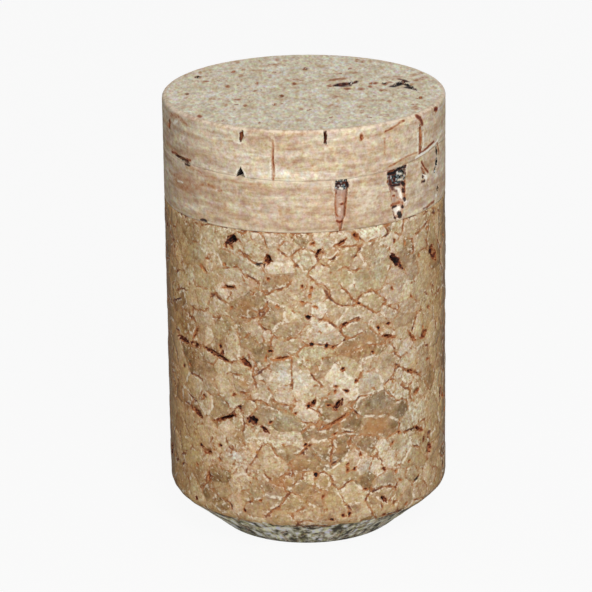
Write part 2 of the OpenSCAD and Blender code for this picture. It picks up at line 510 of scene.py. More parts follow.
# Small dark specks: darkness, then places (u, w).
SPECKS = [
    (0.9, (-8.95, 30.75), (0.55, 25), (2.1, 24.75), (-7.5, 17.35), (0.8, 10.2), (14.8, 11.6), (2.45, 4.9)),
    (0.8, (3.9, 22.0), (-9.6, 23.2), (8.05, 26), (0.1, 18), (-14.7, 15.7), (-13.1, 11.7), (4.45, 5.3)),
    (0.75, (-3.9, 24.1), (-7.2, 5.5), (8.7, 4.4), (-16.1, 20), (-14.1, 5.2), (-9.9, 23.8), (8.65, 9.8)),
    (0.7, (-8.9, 35.4), (4.2, 19.5), (-12.4, 17.6), (3.75, 5.2), (9.3, 26.3), (15.9, 26.4), (-10.2, 12.4)),
    (0.6, (10.1, 35.35), (9.8, 30.15), (3.1, 20.1), (3, 19.6), (5.3, 20.5), (2.3, 18), (7.3, 23.45)),
    (0.6, (-8.2, 18.7), (4.3, 10.4), (4.3, 11.1), (5.1, 10.5), (5.8, 12), (6.35, 7.95), (-0.3, 13.6)),
    (0.6, (1.6, 7.65), (-4, 16.05), (10.7, 13.55), (9.8, 12.6), (11.8, 4.9), (5.7, 29.15), (2.8, 24.55)),
    (0.5, (-0.4, 31.5), (-4, 32.2), (0.75, 36.2), (-8.2, 35.3), (-14.8, 20.5), (15.6, 20.6), (-10.3, 10.8)),
    (0.5, (-13.9, 9.2), (2.9, 14.7), (12.6, 28.6), (-1.3, 17.2), (-5.3, 6.9), (12.2, 9.8), (-11.4, 33.4)),
    (0.4, (0.4, 30.5), (-3.1, 29.2), (-9.1, 33.2), (11.6, 34.7), (15.5, 35.4), (-8.3, 28.5), (0.6, 31.3)),
    (0.4, (-0.4, 29.7), (1, 29.2), (-4.4, 23.3), (14, 32.8), (14.6, 24.6), (10.9, 8), (10.2, 9.2)),
]

# Cracks and glue lines between granules, and two dark lines of painted shade along the top of the
# bevel: darkness, then the corners (u, w). A negative darkness is a pale line.
CRACKS_AND_SHADE_LINES = [
    # Painted shade: the two rows on the next line are dark lines where the wall turns under into the bevel.
    (1, (-1.9, 3.8), (-0.8, 3.7), (0.4, 3.75), (2.1, 3.8)), (0.9, (9, 4.15), (10.4, 4.05), (11.9, 4.2)),
    # top, middle
    (0.7, (-7.2, 35.1), (-6.7, 34.7), (-6.2, 34.6)),
    (0.9, (-5.6, 33.95), (-5.1, 33.75), (-4.5, 33.8), (-4.1, 34.1)),
    (0.35, (-4.6, 37.1), (-4.3, 36.2), (-3.9, 35.4)),
    (0.4, (-1.6, 34.7), (-1.1, 35.2), (-0.6, 35.6), (0, 35.7), (0.6, 35.5), (1, 35.2)),
    (0.45, (-1.6, 34.7), (-1.2, 34.1), (-0.6, 33.4)), (0.4, (0.7, 37), (0.8, 36.2)),
    (0.4, (1.1, 34.8), (1.5, 34.1), (2.2, 33.7), (2.6, 33.4)), (0.65, (1.5, 35.3), (2.1, 35)),
    (0.65, (2.2, 34.5), (2.7, 34.3), (3.1, 34.7), (3.3, 34.9)), (0.8, (3, 35.8), (3.5, 35.9), (3.9, 36.2)),
    (0.4, (3.3, 35.8), (3.6, 35.3)), (0.6, (4.7, 37.1), (5.2, 36.9), (5.6, 36.5), (6, 36.1), (6.4, 35.85)),
    (0.35, (6.4, 35.85), (7.2, 35.85), (8, 36)), (0.8, (8.5, 36), (9, 36.2), (9.6, 36.4)),
    (0.65, (4.8, 34), (5.4, 34.6), (5.9, 35.2), (6, 35.5)),
    (0.4, (4.4, 33.3), (4.8, 32.95), (5.4, 32.9), (5.9, 33.1)), (0.35, (3.6, 33), (4, 33.4)),
    (0.45, (0.3, 32.7), (0.9, 32.1), (1.3, 31.4)),
    (0.6, (1.8, 31.3), (2.2, 30.5), (2.8, 29.8), (3.5, 29.3), (4.1, 29.1), (4.6, 29.05)),
    (0.45, (3.5, 31.6), (4.2, 30.8), (4.9, 29.9), (5.3, 29.5)),
    (0.45, (5.5, 29.5), (5.7, 29.9), (6.2, 30.2), (6.9, 30.3), (7.2, 30.7)),
    (0.35, (7.2, 30.5), (7.9, 29.9), (8.6, 29.4), (9.3, 28.3), (10, 27.8), (10.9, 27.4)),
    (0.45, (6.4, 28.8), (7, 28.3), (7.7, 27.7)), (0.4, (0.3, 28.5), (0.7, 28.3), (1, 27.9)),
    (0.75, (1.3, 27.6), (1.8, 27.75)), (0.35, (1.9, 28), (2.2, 28.7)),
    (0.5, (2.2, 27.6), (2.8, 27.2), (3.2, 26.8), (3.7, 26.55), (4, 26.8), (4.2, 27)),
    (0.5, (4.3, 27.1), (4.9, 27.35), (5.5, 27.55), (6, 27.4)),
    (0.35, (-1.8, 29.1), (-1.4, 28.7), (-0.9, 28.6)), (0.6, (-6.5, 32.5), (-5.9, 32.2), (-5.1, 31.6)),
    (0.4, (-6.9, 32), (-6.6, 31.3)), (0.5, (-4.7, 30.8), (-4.3, 31)), (0.45, (-5.8, 30.3), (-5.5, 30.6)),
    (0.4, (-4.6, 29.5), (-4, 28.9), (-4.6, 28.1), (-5.1, 27.4), (-5.2, 27.1)),
    (0.55, (-5, 27), (-4.5, 26.65), (-3.9, 26.35), (-3.3, 25.8), (-3, 25.6)),
    (0.65, (-7.2, 27.6), (-6.6, 27.6), (-6.1, 27.3)), (0.5, (-7.1, 27.1), (-6.5, 27.1)),
    (0.3, (-6, 28.5), (-5.3, 28.4)), (0.35, (-3.3, 31.1), (-2.7, 31), (-2.3, 31.3)),
    # top, left
    (0.75, (-12.3, 37.1), (-11.4, 37.2)), (0.4, (-13.2, 37), (-12.7, 37)), (0.6, (-7.1, 37.1), (-6.7, 37)),
    (0.3, (-14, 34.9), (-13, 34.8), (-12.5, 35.1)), (0.45, (-9.9, 32), (-9.3, 31.9)),
    (0.65, (-11.2, 29.1), (-10.6, 29.5), (-10.3, 29.5), (-9.8, 29.1), (-9.5, 29)),
    (0.45, (-8.3, 30.2), (-8.7, 29.5), (-9, 29.1)), (0.5, (-10.8, 26.9), (-10, 27.1), (-9.4, 27.4)),
    (0.4, (-14.4, 27.3), (-13.1, 27.1), (-12.6, 27.3), (-11.7, 27.4)), (0.35, (-15.3, 36.9), (-14.4, 36.6)),
    (0.7, (-18.8, 33.5), (-17.9, 33.9)), (0.5, (-19.3, 34.3), (-18.7, 34.5)),
    (-0.8, (-19.5, 32.7), (-18.2, 33.4)), (0.7, (-17.8, 30.1), (-16.8, 30.7)),
    (0.5, (-16.2, 30.9), (-15.6, 31)), (0.65, (-17.5, 28.3), (-16.4, 28.7), (-15.2, 28.9)),
    (0.8, (-19, 26.5), (-17.8, 27.1), (-16.5, 27.7)),
    # top, right
    (0.7, (14.8, 37.1), (15.9, 37.2)), (0.6, (16.6, 37.2), (17.1, 37.1)), (0.7, (16.5, 36.7), (17.6, 36.4)),
    (0.7, (18.4, 36.5), (19.3, 36.1)), (0.4, (15, 34.6), (15.4, 33.8), (15.8, 33.2)),
    (0.5, (12.2, 35.1), (13.1, 34.95)), (0.5, (10.7, 35.8), (11.2, 35.6)), (0.6, (12.6, 30.1), (13.2, 30)),
    (0.6, (15.1, 28.3), (15.9, 27.9)), (0.6, (16.7, 28.7), (17.3, 28.2)), (0.7, (18, 27.6), (18.7, 27.3)),
    # middle
    (0.4, (-2.4, 25.4), (-1.9, 25.6), (-1.5, 25.75), (-1, 25.75), (-0.6, 25.5), (-0.2, 25.1)),
    (0.35, (-6.7, 25.4), (-6.3, 25.8), (-5.9, 26)), (0.25, (-5.7, 25.8), (-5.3, 25), (-5, 24.4)),
    (0.25, (-4.9, 25.9), (-4.4, 25.1)), (-0.8, (0, 26.2), (0.4, 26.6), (0.9, 27)),
    (0.45, (0.7, 25), (1.4, 24.9), (2.1, 24.8), (2.8, 24.6), (3.3, 24.7), (3.7, 25)),
    (0.8, (3.7, 25), (4.1, 25.35), (4.4, 25.4)), (0.5, (4.6, 25.45), (5, 25.5), (5.6, 25.65), (6.1, 25.8)),
    (0.85, (-7.1, 22.6), (-6.7, 22.4), (-6.3, 22.1)), (0.6, (-6.3, 23.5), (-6.2, 23), (-6.6, 22.7)),
    (0.6, (-5.9, 23), (-5.6, 22.7), (-5.4, 22.4)),
    (0.75, (-3.5, 23), (-3, 23.3), (-2.5, 23.5), (-2.1, 23.55)), (0.35, (-2, 23.9), (-0.9, 23.5)),
    (0.55, (-5.9, 21.1), (-5.2, 21.5), (-4.7, 22), (-4.2, 22.3), (-3.9, 22.6)),
    (0.5, (-5.9, 21.1), (-5.7, 20.5), (-5.6, 19.6)), (0.5, (-5.2, 20.6), (-4.8, 20.7), (-4.5, 20.3)),
    (0.4, (-1.6, 23.4), (-1.7, 22.3), (-1.6, 21.2), (-1.6, 20.1)),
    (0.55, (0.3, 21.9), (0.7, 21.3), (1.1, 20.8), (1.7, 20.1)), (0.4, (0.5, 22.6), (1.1, 22.5), (1.2, 22)),
    (0.3, (0.1, 23.3), (0.4, 22.8)), (0.5, (-7.3, 19.1), (-6.7, 19.05), (-6.1, 19.2)),
    (0.4, (-7.2, 18.2), (-6.2, 18.4), (-5, 18.35), (-4.3, 18), (-3.9, 17.9)),
    (0.4, (-3.9, 18.8), (-3.4, 18.4), (-2.8, 18.2), (-2.1, 18.1), (-1.4, 18.4)),
    (0.5, (-0.2, 18.4), (0, 18), (0.5, 17.8), (1, 17.5), (1.4, 17), (1.4, 16.3)),
    (-0.8, (-5, 17.6), (-4.2, 17.8), (-3.4, 17.6), (-2.9, 17)),
    (0.45, (-0.5, 16.3), (0.2, 16.2), (0.8, 15.9), (1.2, 15.5)), (0.5, (2.1, 19), (2.2, 18.7)),
    (0.55, (4.8, 17.7), (5.2, 18.2), (5.6, 18.7), (6.1, 18.8)), (0.65, (6.1, 18.8), (7.1, 18.6)),
    (0.7, (4.6, 17.3), (5, 17.2), (5.3, 16.8), (5.6, 16.3)), (0.5, (5.2, 20.4), (5.8, 20.9), (6.3, 20.8)),
    (0.3, (3, 22.8), (3.7, 22.3)),
    # middle, left: the long crack and its branch
    (0.95, (-17.8, 23.6), (-17.2, 23.7)), (0.95, (-16.9, 23), (-16.2, 23.05), (-15.5, 23), (-14.9, 22.9)),
    (0.95, (-14, 23.2), (-13.4, 23.4)), (0.4, (-13.4, 23.4), (-12.5, 23.3), (-12, 23)),
    (0.95, (-12, 23), (-11.5, 23.1), (-11, 23.1), (-10.5, 22.9), (-10, 22.7), (-9.6, 22.5), (-9.2, 22.2)),
    (0.8, (-14.1, 23.9), (-13.7, 24.5), (-13.3, 25.1)), (0.5, (-15.2, 26.5), (-14.3, 26.1), (-13.6, 25.7)),
    (0.4, (-9.1, 25.3), (-8.8, 25.45)), (0.4, (-8.6, 22.2), (-7.9, 22.5), (-7.3, 22.9)),
    (0.4, (-9.1, 20.6), (-8.8, 21), (-8.1, 21), (-7.4, 21)), (0.4, (-8.8, 20.3), (-8.5, 19.8)),
    (0.4, (-10.5, 18.2), (-10, 18.4)), (0.6, (-9.8, 17.95), (-9.3, 17.7), (-8.9, 17.2)),
    (0.75, (-10, 15.7), (-9.2, 15.8), (-8.7, 16.3), (-8.2, 17), (-7.6, 17.4)),
    (0.5, (-12.8, 17), (-12.4, 17.5)), (0.6, (-15.2, 17.1), (-14.3, 16.8), (-13.3, 16.4)),
    (-0.8, (-13, 16.7), (-12.3, 16.1)), (0.6, (-16.2, 15.9), (-15.2, 15.8), (-14.5, 15.6)),
    # middle, right
    (0.9, (8.3, 24.9), (8.9, 24.9), (9.6, 24.75)),
    (0.5, (9.5, 24.1), (9.9, 23.4), (10.3, 22.7), (10.8, 22.15), (11.2, 22.1), (11.7, 22.3)),
    (0.75, (12, 24.9), (12.6, 24.1), (13.1, 23.4)), (0.35, (12.4, 22.8), (12.7, 22.6)),
    (0.5, (13.6, 23.9), (14.3, 23.2)),
    (0.6, (10, 21.5), (10.4, 21.3), (10.9, 21.1), (11.4, 20.7), (12, 20.3), (12.5, 20), (13.1, 19.8)),
    (0.6, (13.1, 19.8), (13.6, 19.4), (14.1, 19.1), (14.8, 18.7)), (0.4, (14.9, 22.3), (16, 22.1)),
    (0.4, (13.8, 26.6), (14.8, 26.6)), (0.6, (8.7, 19.5), (9.3, 19.8), (10.1, 19.75)),
    (0.4, (10.9, 19.3), (11.2, 19.2)), (0.6, (11.1, 18.8), (11.5, 18.4), (12.2, 18.2), (12.7, 17.9)),
    (0.6, (12.3, 17.2), (12.8, 16.6)), (0.5, (9.2, 18.4), (9.7, 18)),
    (-0.6, (9.3, 18.7), (9.9, 18), (11.2, 17.4), (12.1, 17)), (0.5, (7.2, 19.4), (7.6, 19.1)),
    # bottom, middle
    (0.75, (1.1, 15.3), (1.8, 15.4), (2.4, 15.5)), (0.8, (1.3, 15.6), (1.6, 16.2)),
    (0.85, (2, 15.8), (2.9, 16.1), (3.6, 16.4), (4.2, 16.9), (4.5, 17.2)),
    (0.65, (3.5, 14.75), (4.2, 14.8), (5, 14.7)), (0.5, (2.2, 14.1), (2.8, 14.3)),
    (0.45, (-4.3, 13.8), (-4.9, 13.3), (-5.3, 12.7), (-5.6, 12), (-6.1, 11.3), (-6.5, 10.7)),
    (0.45, (-6.5, 10.7), (-6.8, 10.2), (-6.7, 9.7), (-6.3, 9.5)),
    (0.5, (-7.2, 16.4), (-7, 15.6), (-7.1, 14.9), (-7.4, 14.2)),
    (0.55, (-4.9, 10.4), (-4.4, 9.7), (-4, 9.1)), (0.35, (-4, 9.1), (-3.5, 8.9), (-3, 8.8)),
    (0.35, (-3.5, 9.2), (-3, 9.8), (-2.5, 10.1), (-2, 10.3)),
    (0.5, (-5, 5.2), (-4.6, 5.2), (-4.1, 5.7), (-3.6, 6.1), (-3.1, 6.5), (-2.7, 7.1)),
    (0.5, (-2.7, 7.1), (-2.4, 7.7), (-2.1, 8.1), (-1.6, 8.1)), (0.4, (-1.6, 8.1), (-1, 7.8), (-0.6, 7.3)),
    (0.45, (-1.6, 8.7), (-1.4, 9.2)), (0.5, (3, 8.2), (3.6, 8.5), (4.1, 8.9), (4.7, 9.2), (5.1, 9.1)),
    (0.45, (2.3, 10.2), (2.6, 9.5), (2.6, 8.9)), (-0.9, (2, 10.4), (2.7, 10.9), (3.5, 11.4), (4.3, 11.5)),
    (-0.9, (5.1, 10.5), (5.6, 11), (6, 11.8)), (0.8, (2.3, 11), (3.1, 11.6), (3.4, 11.8)),
    (0.35, (4.2, 13.9), (4.5, 13.3), (4.7, 12.8)), (0.5, (0.5, 12.9), (0.9, 12.3), (1.2, 12.1)),
    (0.5, (-1.5, 12.2), (-0.9, 12.5), (-0.4, 13), (0, 13.5), (0.5, 13.7)), (0.5, (-1.7, 10.7), (-1.7, 9.9)),
    (0.6, (3.5, 7.7), (3.7, 7.1), (4.1, 6.5), (4.5, 6), (4.7, 5.8)),
    (-0.8, (-6.5, 13.9), (-4.6, 14.1), (-3.9, 13.7), (-3.4, 13.1), (-2.6, 12.8)),
    (-0.8, (-1.5, 12.6), (-0.8, 12.9), (-0.1, 13.7), (0.6, 14.2)),
    (-0.8, (3, 14.5), (4, 14.6), (5.5, 14.3)),
    # bottom, left
    (0.8, (-10.8, 15), (-10.2, 15.4), (-9.6, 15.7), (-9, 15.8), (-8.5, 16.2), (-8.2, 16.5)),
    (0.65, (-12.1, 9), (-11.7, 8.5), (-12.3, 8.2), (-12.4, 7.6)),
    (0.5, (-11.9, 7), (-11.1, 6.9), (-10.7, 6.6)), (0.6, (-8.5, 12.6), (-8.8, 11.9)),
    (0.6, (-7.3, 12.9), (-6.9, 13.3)), (0.5, (-8.2, 11), (-8.8, 10.3)), (0.4, (-8.1, 10), (-8.8, 9.2)),
    (0.7, (-9.4, 6.2), (-8.9, 5.8), (-8.8, 5.3)), (0.7, (-17.5, 9.3), (-16.3, 9.7)),
    (0.7, (-19, 8), (-18, 8.4)), (0.6, (-17.3, 8.2), (-16.5, 8.6)), (-0.8, (-17.3, 10.5), (-17.7, 12)),
    # bottom, right
    (0.75, (11.5, 13.2), (12, 13.4), (12.7, 13.5), (13.3, 13.4), (13.8, 13.1), (14.3, 12.8)),
    (0.6, (12.7, 11.5), (13.3, 11.2), (13.9, 10.9)), (0.6, (8, 11.2), (8.3, 10.8), (8.4, 10.4)),
    (0.45, (7.2, 11.7), (7.9, 11.2), (8.3, 10.7)), (0.4, (6.6, 11.8), (7.3, 11.5)),
    (0.35, (7.3, 12.6), (7.8, 12)), (0.45, (8.6, 13.6), (9.1, 13.1)),
    (0.35, (10.9, 9.4), (11.6, 9.1), (12.4, 9.2)), (0.3, (9.4, 9.7), (10.3, 9.1)),
    (0.85, (12.9, 7.15), (13.3, 7.4), (13.9, 7.7)), (0.8, (9.8, 5.5), (10.2, 5.7), (10.6, 5.7)),
    (0.5, (8.3, 6), (8.4, 5.3)), (0.7, (15.4, 12.1), (16.5, 11.9)), (0.6, (15.5, 11.6), (16.2, 11.3)),
]

# Granules of a known colour: tone (0 grey-brown, 0.5 pinkish tan, 1 cream), then the spine.
GRANULES = [
    (0.97, (6.7, 36.7), (8.5, 36.7)), (0.97, (1.2, 28.6), (1.4, 28.9)), (0.95, (-9.4, 30.2), (-9.3, 29.9)),
    (0.84, (-3.8, 14.4), (-1.5, 14.6)), (0.84, (0, 14.7), (2, 14.9)), (0.62, (-0.2, 34.2), (0.3, 34.5)),
    (0.3, (-15, 36), (-13.6, 35.8)), (0.34, (-14.5, 33), (-12.6, 33.3)), (0.36, (-12.8, 31.3), (-11.8, 31)),
    (0.34, (7, 34.2), (8.6, 34.3)), (0.36, (6.6, 31.6), (8.4, 32.4)), (0.35, (8.2, 8.4), (9.6, 8.2)),
    (0.2, (-7.4, 28.9), (-5.9, 29.3)), (0.24, (-3.4, 32), (-2.2, 32.3)), (0.22, (-4.2, 27.4), (-2.8, 28)),
    (0.24, (-2.6, 26.7), (-1.2, 26.8)), (0.14, (4.9, 24.6), (7, 24.9)), (0.16, (5.4, 23.5), (7.2, 23.7)),
    (0.1, (-15, 22.1), (-12.8, 21.9)), (0.14, (-14.6, 20.6), (-11.6, 20.7)), (0.2, (-3, 15.6), (-1, 15.7)),
    (0.1, (6.2, 17.8), (8.8, 17.2), (11, 15.8)), (0.3, (6.6, 15.2), (9.6, 14.6)),
    (0.2, (-0.9, 11.5), (0.4, 11.3)), (0.24, (-0.3, 12.6), (0.2, 12.4)), (0.22, (1.2, 12.9), (1.5, 13.4)),
    (0.74, (-3.5, 20.5), (-2.6, 21.9)), (0.76, (-0.8, 19.8), (0.2, 20.6)),
    (0.74, (-3.1, 22.2), (-2.4, 22.6)), (0.2, (-5.8, 16.2), (-4.4, 16.4)), (0.3, (10.5, 26.3), (12.4, 26)),
    (0.3, (-10.4, 25.2), (-9.9, 26.1)), (0.8, (13, 15.2), (14.6, 15.6)), (0.5, (3.6, 12.9), (3.8, 13.7)),
    (0.88, (-8.3, 8.2), (-7.2, 8.6)), (0.88, (3.8, 7.8), (5.4, 7.4)), (0.9, (-2.2, 33.3), (-3.4, 33.4)),
    (0.68, (9.2, 21), (8.4, 22)), (0.82, (10, 18.8), (11.2, 18)),
]

# Orange-brown stains: strength, u, w, half the width, half the height.
STAINS = [
    (1, -3, 9.1, 1.3, 1.3), (1, 7.6, 15.4, 1.8, 1.8), (1, -5.4, 12.4, 0.8, 0.8), (1, -6.5, 10.3, 0.7, 0.7),
    (1, -6.9, 20.2, 0.7, 0.7), (1, 6.4, 18.9, 0.8, 0.8), (1, 2.3, 27.7, 0.6, 0.6),
    (1, 13.9, 13.2, 0.9, 0.9), (1, -13.2, 24.9, 0.7, 0.7), (1, 9.2, 24.6, 0.8, 0.8),
    (0.6, -9.5, 31.5, 1.6, 0.8), (0.7, -6.5, 29, 1.5, 1.2), (0.7, -2, 32.2, 1.3, 0.8),
    (0.6, -2.5, 30.9, 1.2, 0.4), (0.6, -9.2, 24.5, 1, 0.8), (0.9, 4.6, 24, 1.8, 1.2),
    (0.7, 7, 25.1, 1, 0.8), (0.9, -1, 10.6, 1.2, 1.6), (0.9, -3.2, 9.2, 1.6, 0.5),
    (0.7, -7.6, 14, 0.8, 1.2), (0.8, -7, 18.6, 1.5, 0.5), (0.7, -3.5, 18.3, 1.5, 0.4),
    (0.7, -4.7, 14.5, 1.5, 0.4), (1, 7.6, 14.6, 2.2, 1.2), (0.8, 9.6, 13.8, 1.2, 0.8),
    (0.6, 3, 12.8, 1.5, 0.6), (0.5, 2.5, 15.2, 1.5, 0.5), (0.6, 4.6, 16.4, 0.9, 0.5),
    (0.6, 3.2, 35.2, 1.2, 1.4), (0.6, 3.4, 27.9, 1, 0.7),
]

# Lighter and darker areas of the body, and of the painted shade and dirt on its bevel: how much
# lighter, u, w, half the width, half the height.
SHADES = [
    (-0.6, 0, 7.2, 26, 3.6), (-0.3, -2, 9.8, 12, 3), (-1, 0.3, 3.5, 3.2, 0.7), (-1, 10.6, 3.8, 2.6, 0.7),
    # Painted light: the tall oval at u = -11.8 lightens the body's left side.
    (0.35, -11.8, 22, 3.6, 17), (0.35, -0.5, 2.3, 5, 1.4), (0.9, 2.8, 4.0, 0.7, 0.5),
    (0.5, -5, 2.6, 3.4, 1), (-0.7, -10, 3.5, 1.8, 0.6), (0.6, 1.4, 1.8, 1.8, 0.9),
    (0.8, -14.2, 30.6, 1.5, 1.2), (0.5, -12, 33.8, 2, 1.6), (0.7, -2.6, 34.2, 2.2, 1.1),
    (0.6, 5.5, 31.4, 1.5, 1.3), (0.6, 8, 31, 1.4, 1.6), (0.6, 8.8, 34, 1.6, 1.4),
    (0.7, 12.4, 31.4, 1.6, 1.8), (0.5, -1.4, 28.2, 2.2, 1.6), (0.6, -2.8, 21.8, 2.2, 1.4),
    (0.5, -0.8, 20.4, 1.8, 1.6), (0.4, 2.6, 21.8, 1.6, 1.4), (0.3, 7.2, 21.2, 1.6, 0.8),
    (0.6, -9.2, 18.6, 1.6, 1.2), (0.7, -9.3, 12.9, 1.6, 1.1), (0.5, -8, 11.6, 1.4, 0.8),
    (0.7, 12.2, 15, 1.8, 1.3), (0.5, 6.2, 11.9, 1.4, 0.9), (0.7, 11.6, 11.6, 1.4, 1.4),
    (0.6, 3.6, 8.4, 1.2, 0.9), (0.7, 8.3, 8.9, 1.3, 0.9), (0.6, -8, 34.2, 1.4, 0.9),
    (0.5, -10.4, 17.2, 1.2, 0.8), (0.4, -2.3, 12.8, 1.6, 0.9), (0.5, 13.6, 25.2, 1.4, 1),
    (-1, -15, 24.8, 3.2, 1.5), (-0.6, -14, 20.6, 2.4, 1.4), (-0.4, -11.8, 21.6, 1.6, 1.2),
    (-0.9, -15.2, 15.9, 2.4, 1), (-0.5, -12, 11.8, 1.2, 1), (-0.8, -13.4, 8.2, 2.4, 2.2),
    (-0.6, -6.6, 28, 1.4, 1.4), (-0.7, 8.3, 26.2, 1.2, 0.8), (-0.8, 9.6, 14.4, 1.8, 1.2),
    (-0.6, 13.6, 12.6, 1.2, 1), (-0.8, 15.4, 11, 1.1, 1.8), (-0.5, -4.2, 15.1, 1.6, 0.6),
    (-0.5, -7.2, 14.2, 1, 1.2), (-0.6, -0.9, 10.6, 1.4, 1.4), (-0.6, 2, 12.4, 1.6, 0.9),
    (-0.9, 11.4, 16.3, 1.4, 1.1), (-0.7, 3, 34, 1.1, 1.1), (-0.5, 2, 32.4, 1, 1),
    (-0.6, -6.8, 31, 1.1, 0.9), (-0.5, 2, 28, 0.8, 1.2), (0.8, -12.8, 18.8, 1.8, 1.4),
    (0.6, -13.2, 21.4, 1.4, 1), (0.5, -10.2, 20, 1, 1), (0.6, -12.4, 31, 1.2, 0.9),
    (0.6, 13.2, 24.4, 1.4, 1), (0.5, 1.2, 19.2, 1, 0.8), (0.4, 3.4, 19, 0.8, 0.8),
    (0.5, -3.4, 16.6, 1.6, 0.8), (0.4, -5.8, 12, 1, 0.9), (0.5, 13.4, 11.8, 1, 0.9),
    (0.4, -13, 8.6, 0.9, 0.8), (-0.5, -15.8, 25.4, 1, 1), (-0.4, -6.6, 17.6, 0.8, 0.9),
    (-0.5, 5, 13, 1.2, 0.9), (-0.6, 11.6, 15, 1.4, 1), (-0.4, 9, 12.8, 1.4, 0.8), (-0.4, 8, 11, 1, 0.7),
    (-0.5, 9.4, 22, 1.2, 0.8), (-0.4, 12, 22.2, 1.2, 0.8), (-0.8, -13.6, 6.4, 1.4, 1),
    (-0.5, -1, 6.6, 1.6, 1), (-0.5, 5, 6.2, 1.2, 1.2), (-0.5, 8, 6.2, 1.4, 1), (-0.5, 10.6, 34.4, 1, 0.8),
    (-0.4, -11, 34.6, 0.9, 1), (-0.7, 9.9, 29.2, 1, 1.1), (-0.7, 13, 28, 1, 1.1), (-0.6, 8.6, 21.8, 1, 1.6),
    (-0.7, 4.8, 15.8, 1.2, 0.9), (-0.6, -3.2, 14.8, 1.6, 0.5), (-0.5, -7, 17, 0.8, 1.2),
    (-0.5, 4.6, 6.6, 1, 1.2), (-0.4, -7.6, 6.4, 1.2, 0.8),
]

# Warmer and cooler areas of the body: from 1 for orange to -1 for greenish grey, then as above.
HUES = [
    (0.8, -16, 20, 12, 26), (0.5, -1, 6, 22, 4.5), (0.3, -4, 11, 16, 5), (-1, 8, 32.6, 0.9, 1.8),
    (-0.8, -14.4, 30.8, 1.5, 1.3), (-0.8, 1.5, 26.2, 1.5, 2), (-0.9, -2.8, 16.5, 2.3, 1),
    (-0.5, -13.4, 33.6, 2, 1.6), (-0.6, -12.8, 18.8, 2, 1.8), (-0.8, -8.4, 11.8, 1.6, 1.2),
    (-0.8, 12.4, 11.6, 1.8, 1.2), (-0.9, 6.4, 10.4, 1.4, 1.2), (-0.8, 8.6, 8.6, 1.4, 1.2),
    (-0.5, 6.6, 20.6, 1.6, 0.9), (-1, 8.4, 17.8, 2.2, 1.4), (-1, 11.2, 16, 1.4, 1.2),
    (-0.8, -1.6, 21.6, 2.4, 2), (-0.7, -12, 22, 2, 1.1), (-0.6, -12.6, 26.6, 1.8, 1),
    (-0.6, 0.4, 24.2, 1.8, 1), (-0.5, 5.2, 31.4, 1.4, 1.2), (-0.7, -9.2, 17.6, 1.6, 1),
    (-0.5, -15, 6, 1.8, 1.6), (-0.4, 12.8, 31.4, 1.4, 1.6), (-0.5, 14.4, 15.6, 1.4, 1.2),
    (-0.4, -3.6, 7.6, 1.6, 1.2), (-0.5, 3.4, 8.6, 1, 1), (0.9, -6.8, 28.4, 1.2, 1.8),
    (0.7, -2.8, 32, 1.8, 1), (1, -14.6, 25, 3.2, 1.5), (0.8, 6.4, 24.4, 2.2, 1.4), (1, 7.4, 14.8, 3, 1.3),
    (0.8, -7, 20.4, 1, 1), (0.7, -9, 14.2, 1.4, 1), (0.9, -5.8, 13, 1, 1.8), (0.8, 14.4, 12.6, 2, 1),
    (0.6, 12.4, 28.6, 1.4, 1.6), (0.7, 13, 20.6, 1.6, 1.2), (0.9, -3.2, 9, 2, 1), (0.7, -8, 6.4, 1.8, 1.2),
    (0.7, 0.6, 7.2, 2, 1.4), (0.6, 3, 34.8, 1.4, 1.4), (0.8, -15.4, 15.6, 2.2, 1),
    (0.6, -5.2, 34.2, 1.4, 1), (0.7, 8.8, 26, 1.6, 0.8), (0.6, 1, 16.4, 1.6, 1), (0.5, 3.8, 29.6, 1.6, 1),
    (0.5, -2, 27.6, 1.6, 1.4), (0.7, 15.8, 24.2, 1.2, 1.4), (0.5, -8.2, 36, 1, 1), (0.5, -12, 9, 1.4, 1.8),
    (0.5, 2.6, 13.2, 1.8, 1), (0.6, 10, 5.6, 1.2, 0.8), (0.5, -4.6, 6, 1.2, 1), (0.6, 0.4, 11.4, 1.4, 1),
]

# ---------------------------------------------------------------- walls in space


# How far the worn edge of the upper joint strays from its plane: u, then the rise.
UPPER_JOINT_SAG = [
    (-16, 0), (-11, -0.02), (-7, -0.12), (-3, -0.24), (1, -0.3), (5, -0.3), (9.5, -0.15), (12, 0.05),
    (14, 0.25), (17, 0.5), (19, 0.5), (24, 0),
]


def joint_sag(u):
    """How far the upper joint's edge strays from its plane at u."""
    return np.interp(u, *zip(*UPPER_JOINT_SAG))


class Wall:
    """A lathe wall that follows the joints' tilt: it turns unrolled places into solid ones."""

    def __init__(self, outline, level_w, tilted_w, sagging=False):
        """The wall is level at level_w, leans with the joints from tilted_w on, and blends between."""
        self.outline, self.level_w, self.tilted_w, self.sagging = outline, level_w, tilted_w, sagging

    def ground(self, flats, sink=0.0):
        """The solid places (N x 3) of unrolled places, sunk into the cork by sink."""
        radius, height, normal_r, normal_z = self.outline.place(flats[:, 1])
        radius = radius - sink * normal_r
        angle = flats[:, 0] / wall_r
        x = radius * np.sin(angle)
        tilt = joint_slope * x * smooth_step(self.level_w, self.tilted_w, flats[:, 1])
        if self.sagging:
            below = smooth_step(lower_joint_z, upper_joint_z, flats[:, 1])
            above = smooth_step(LEVEL_RIM, upper_joint_z, flats[:, 1])
            tilt = tilt + below * above * joint_sag(flats[:, 0])
        return np.stack([x, -radius * np.cos(angle), height - sink * normal_z + tilt], axis=1)


LEVEL_BODY = 30          # the body's granules lie level up to this height
LEVEL_RIM = cork_h - 1   # and the top rim is level from this one on

body_wall = Wall(body_outline(), LEVEL_BODY, lower_joint_z)
inner_wall = Wall(Outline([(wall_r, 0), (wall_r, cork_h)], 0), 0, 1, sagging=True)
outer_wall = Wall(outer_outline(), LEVEL_RIM, upper_joint_z, sagging=True)
foot_w = body_wall.outline.w[0]

# ---------------------------------------------------------------- skins: meshes with attributes


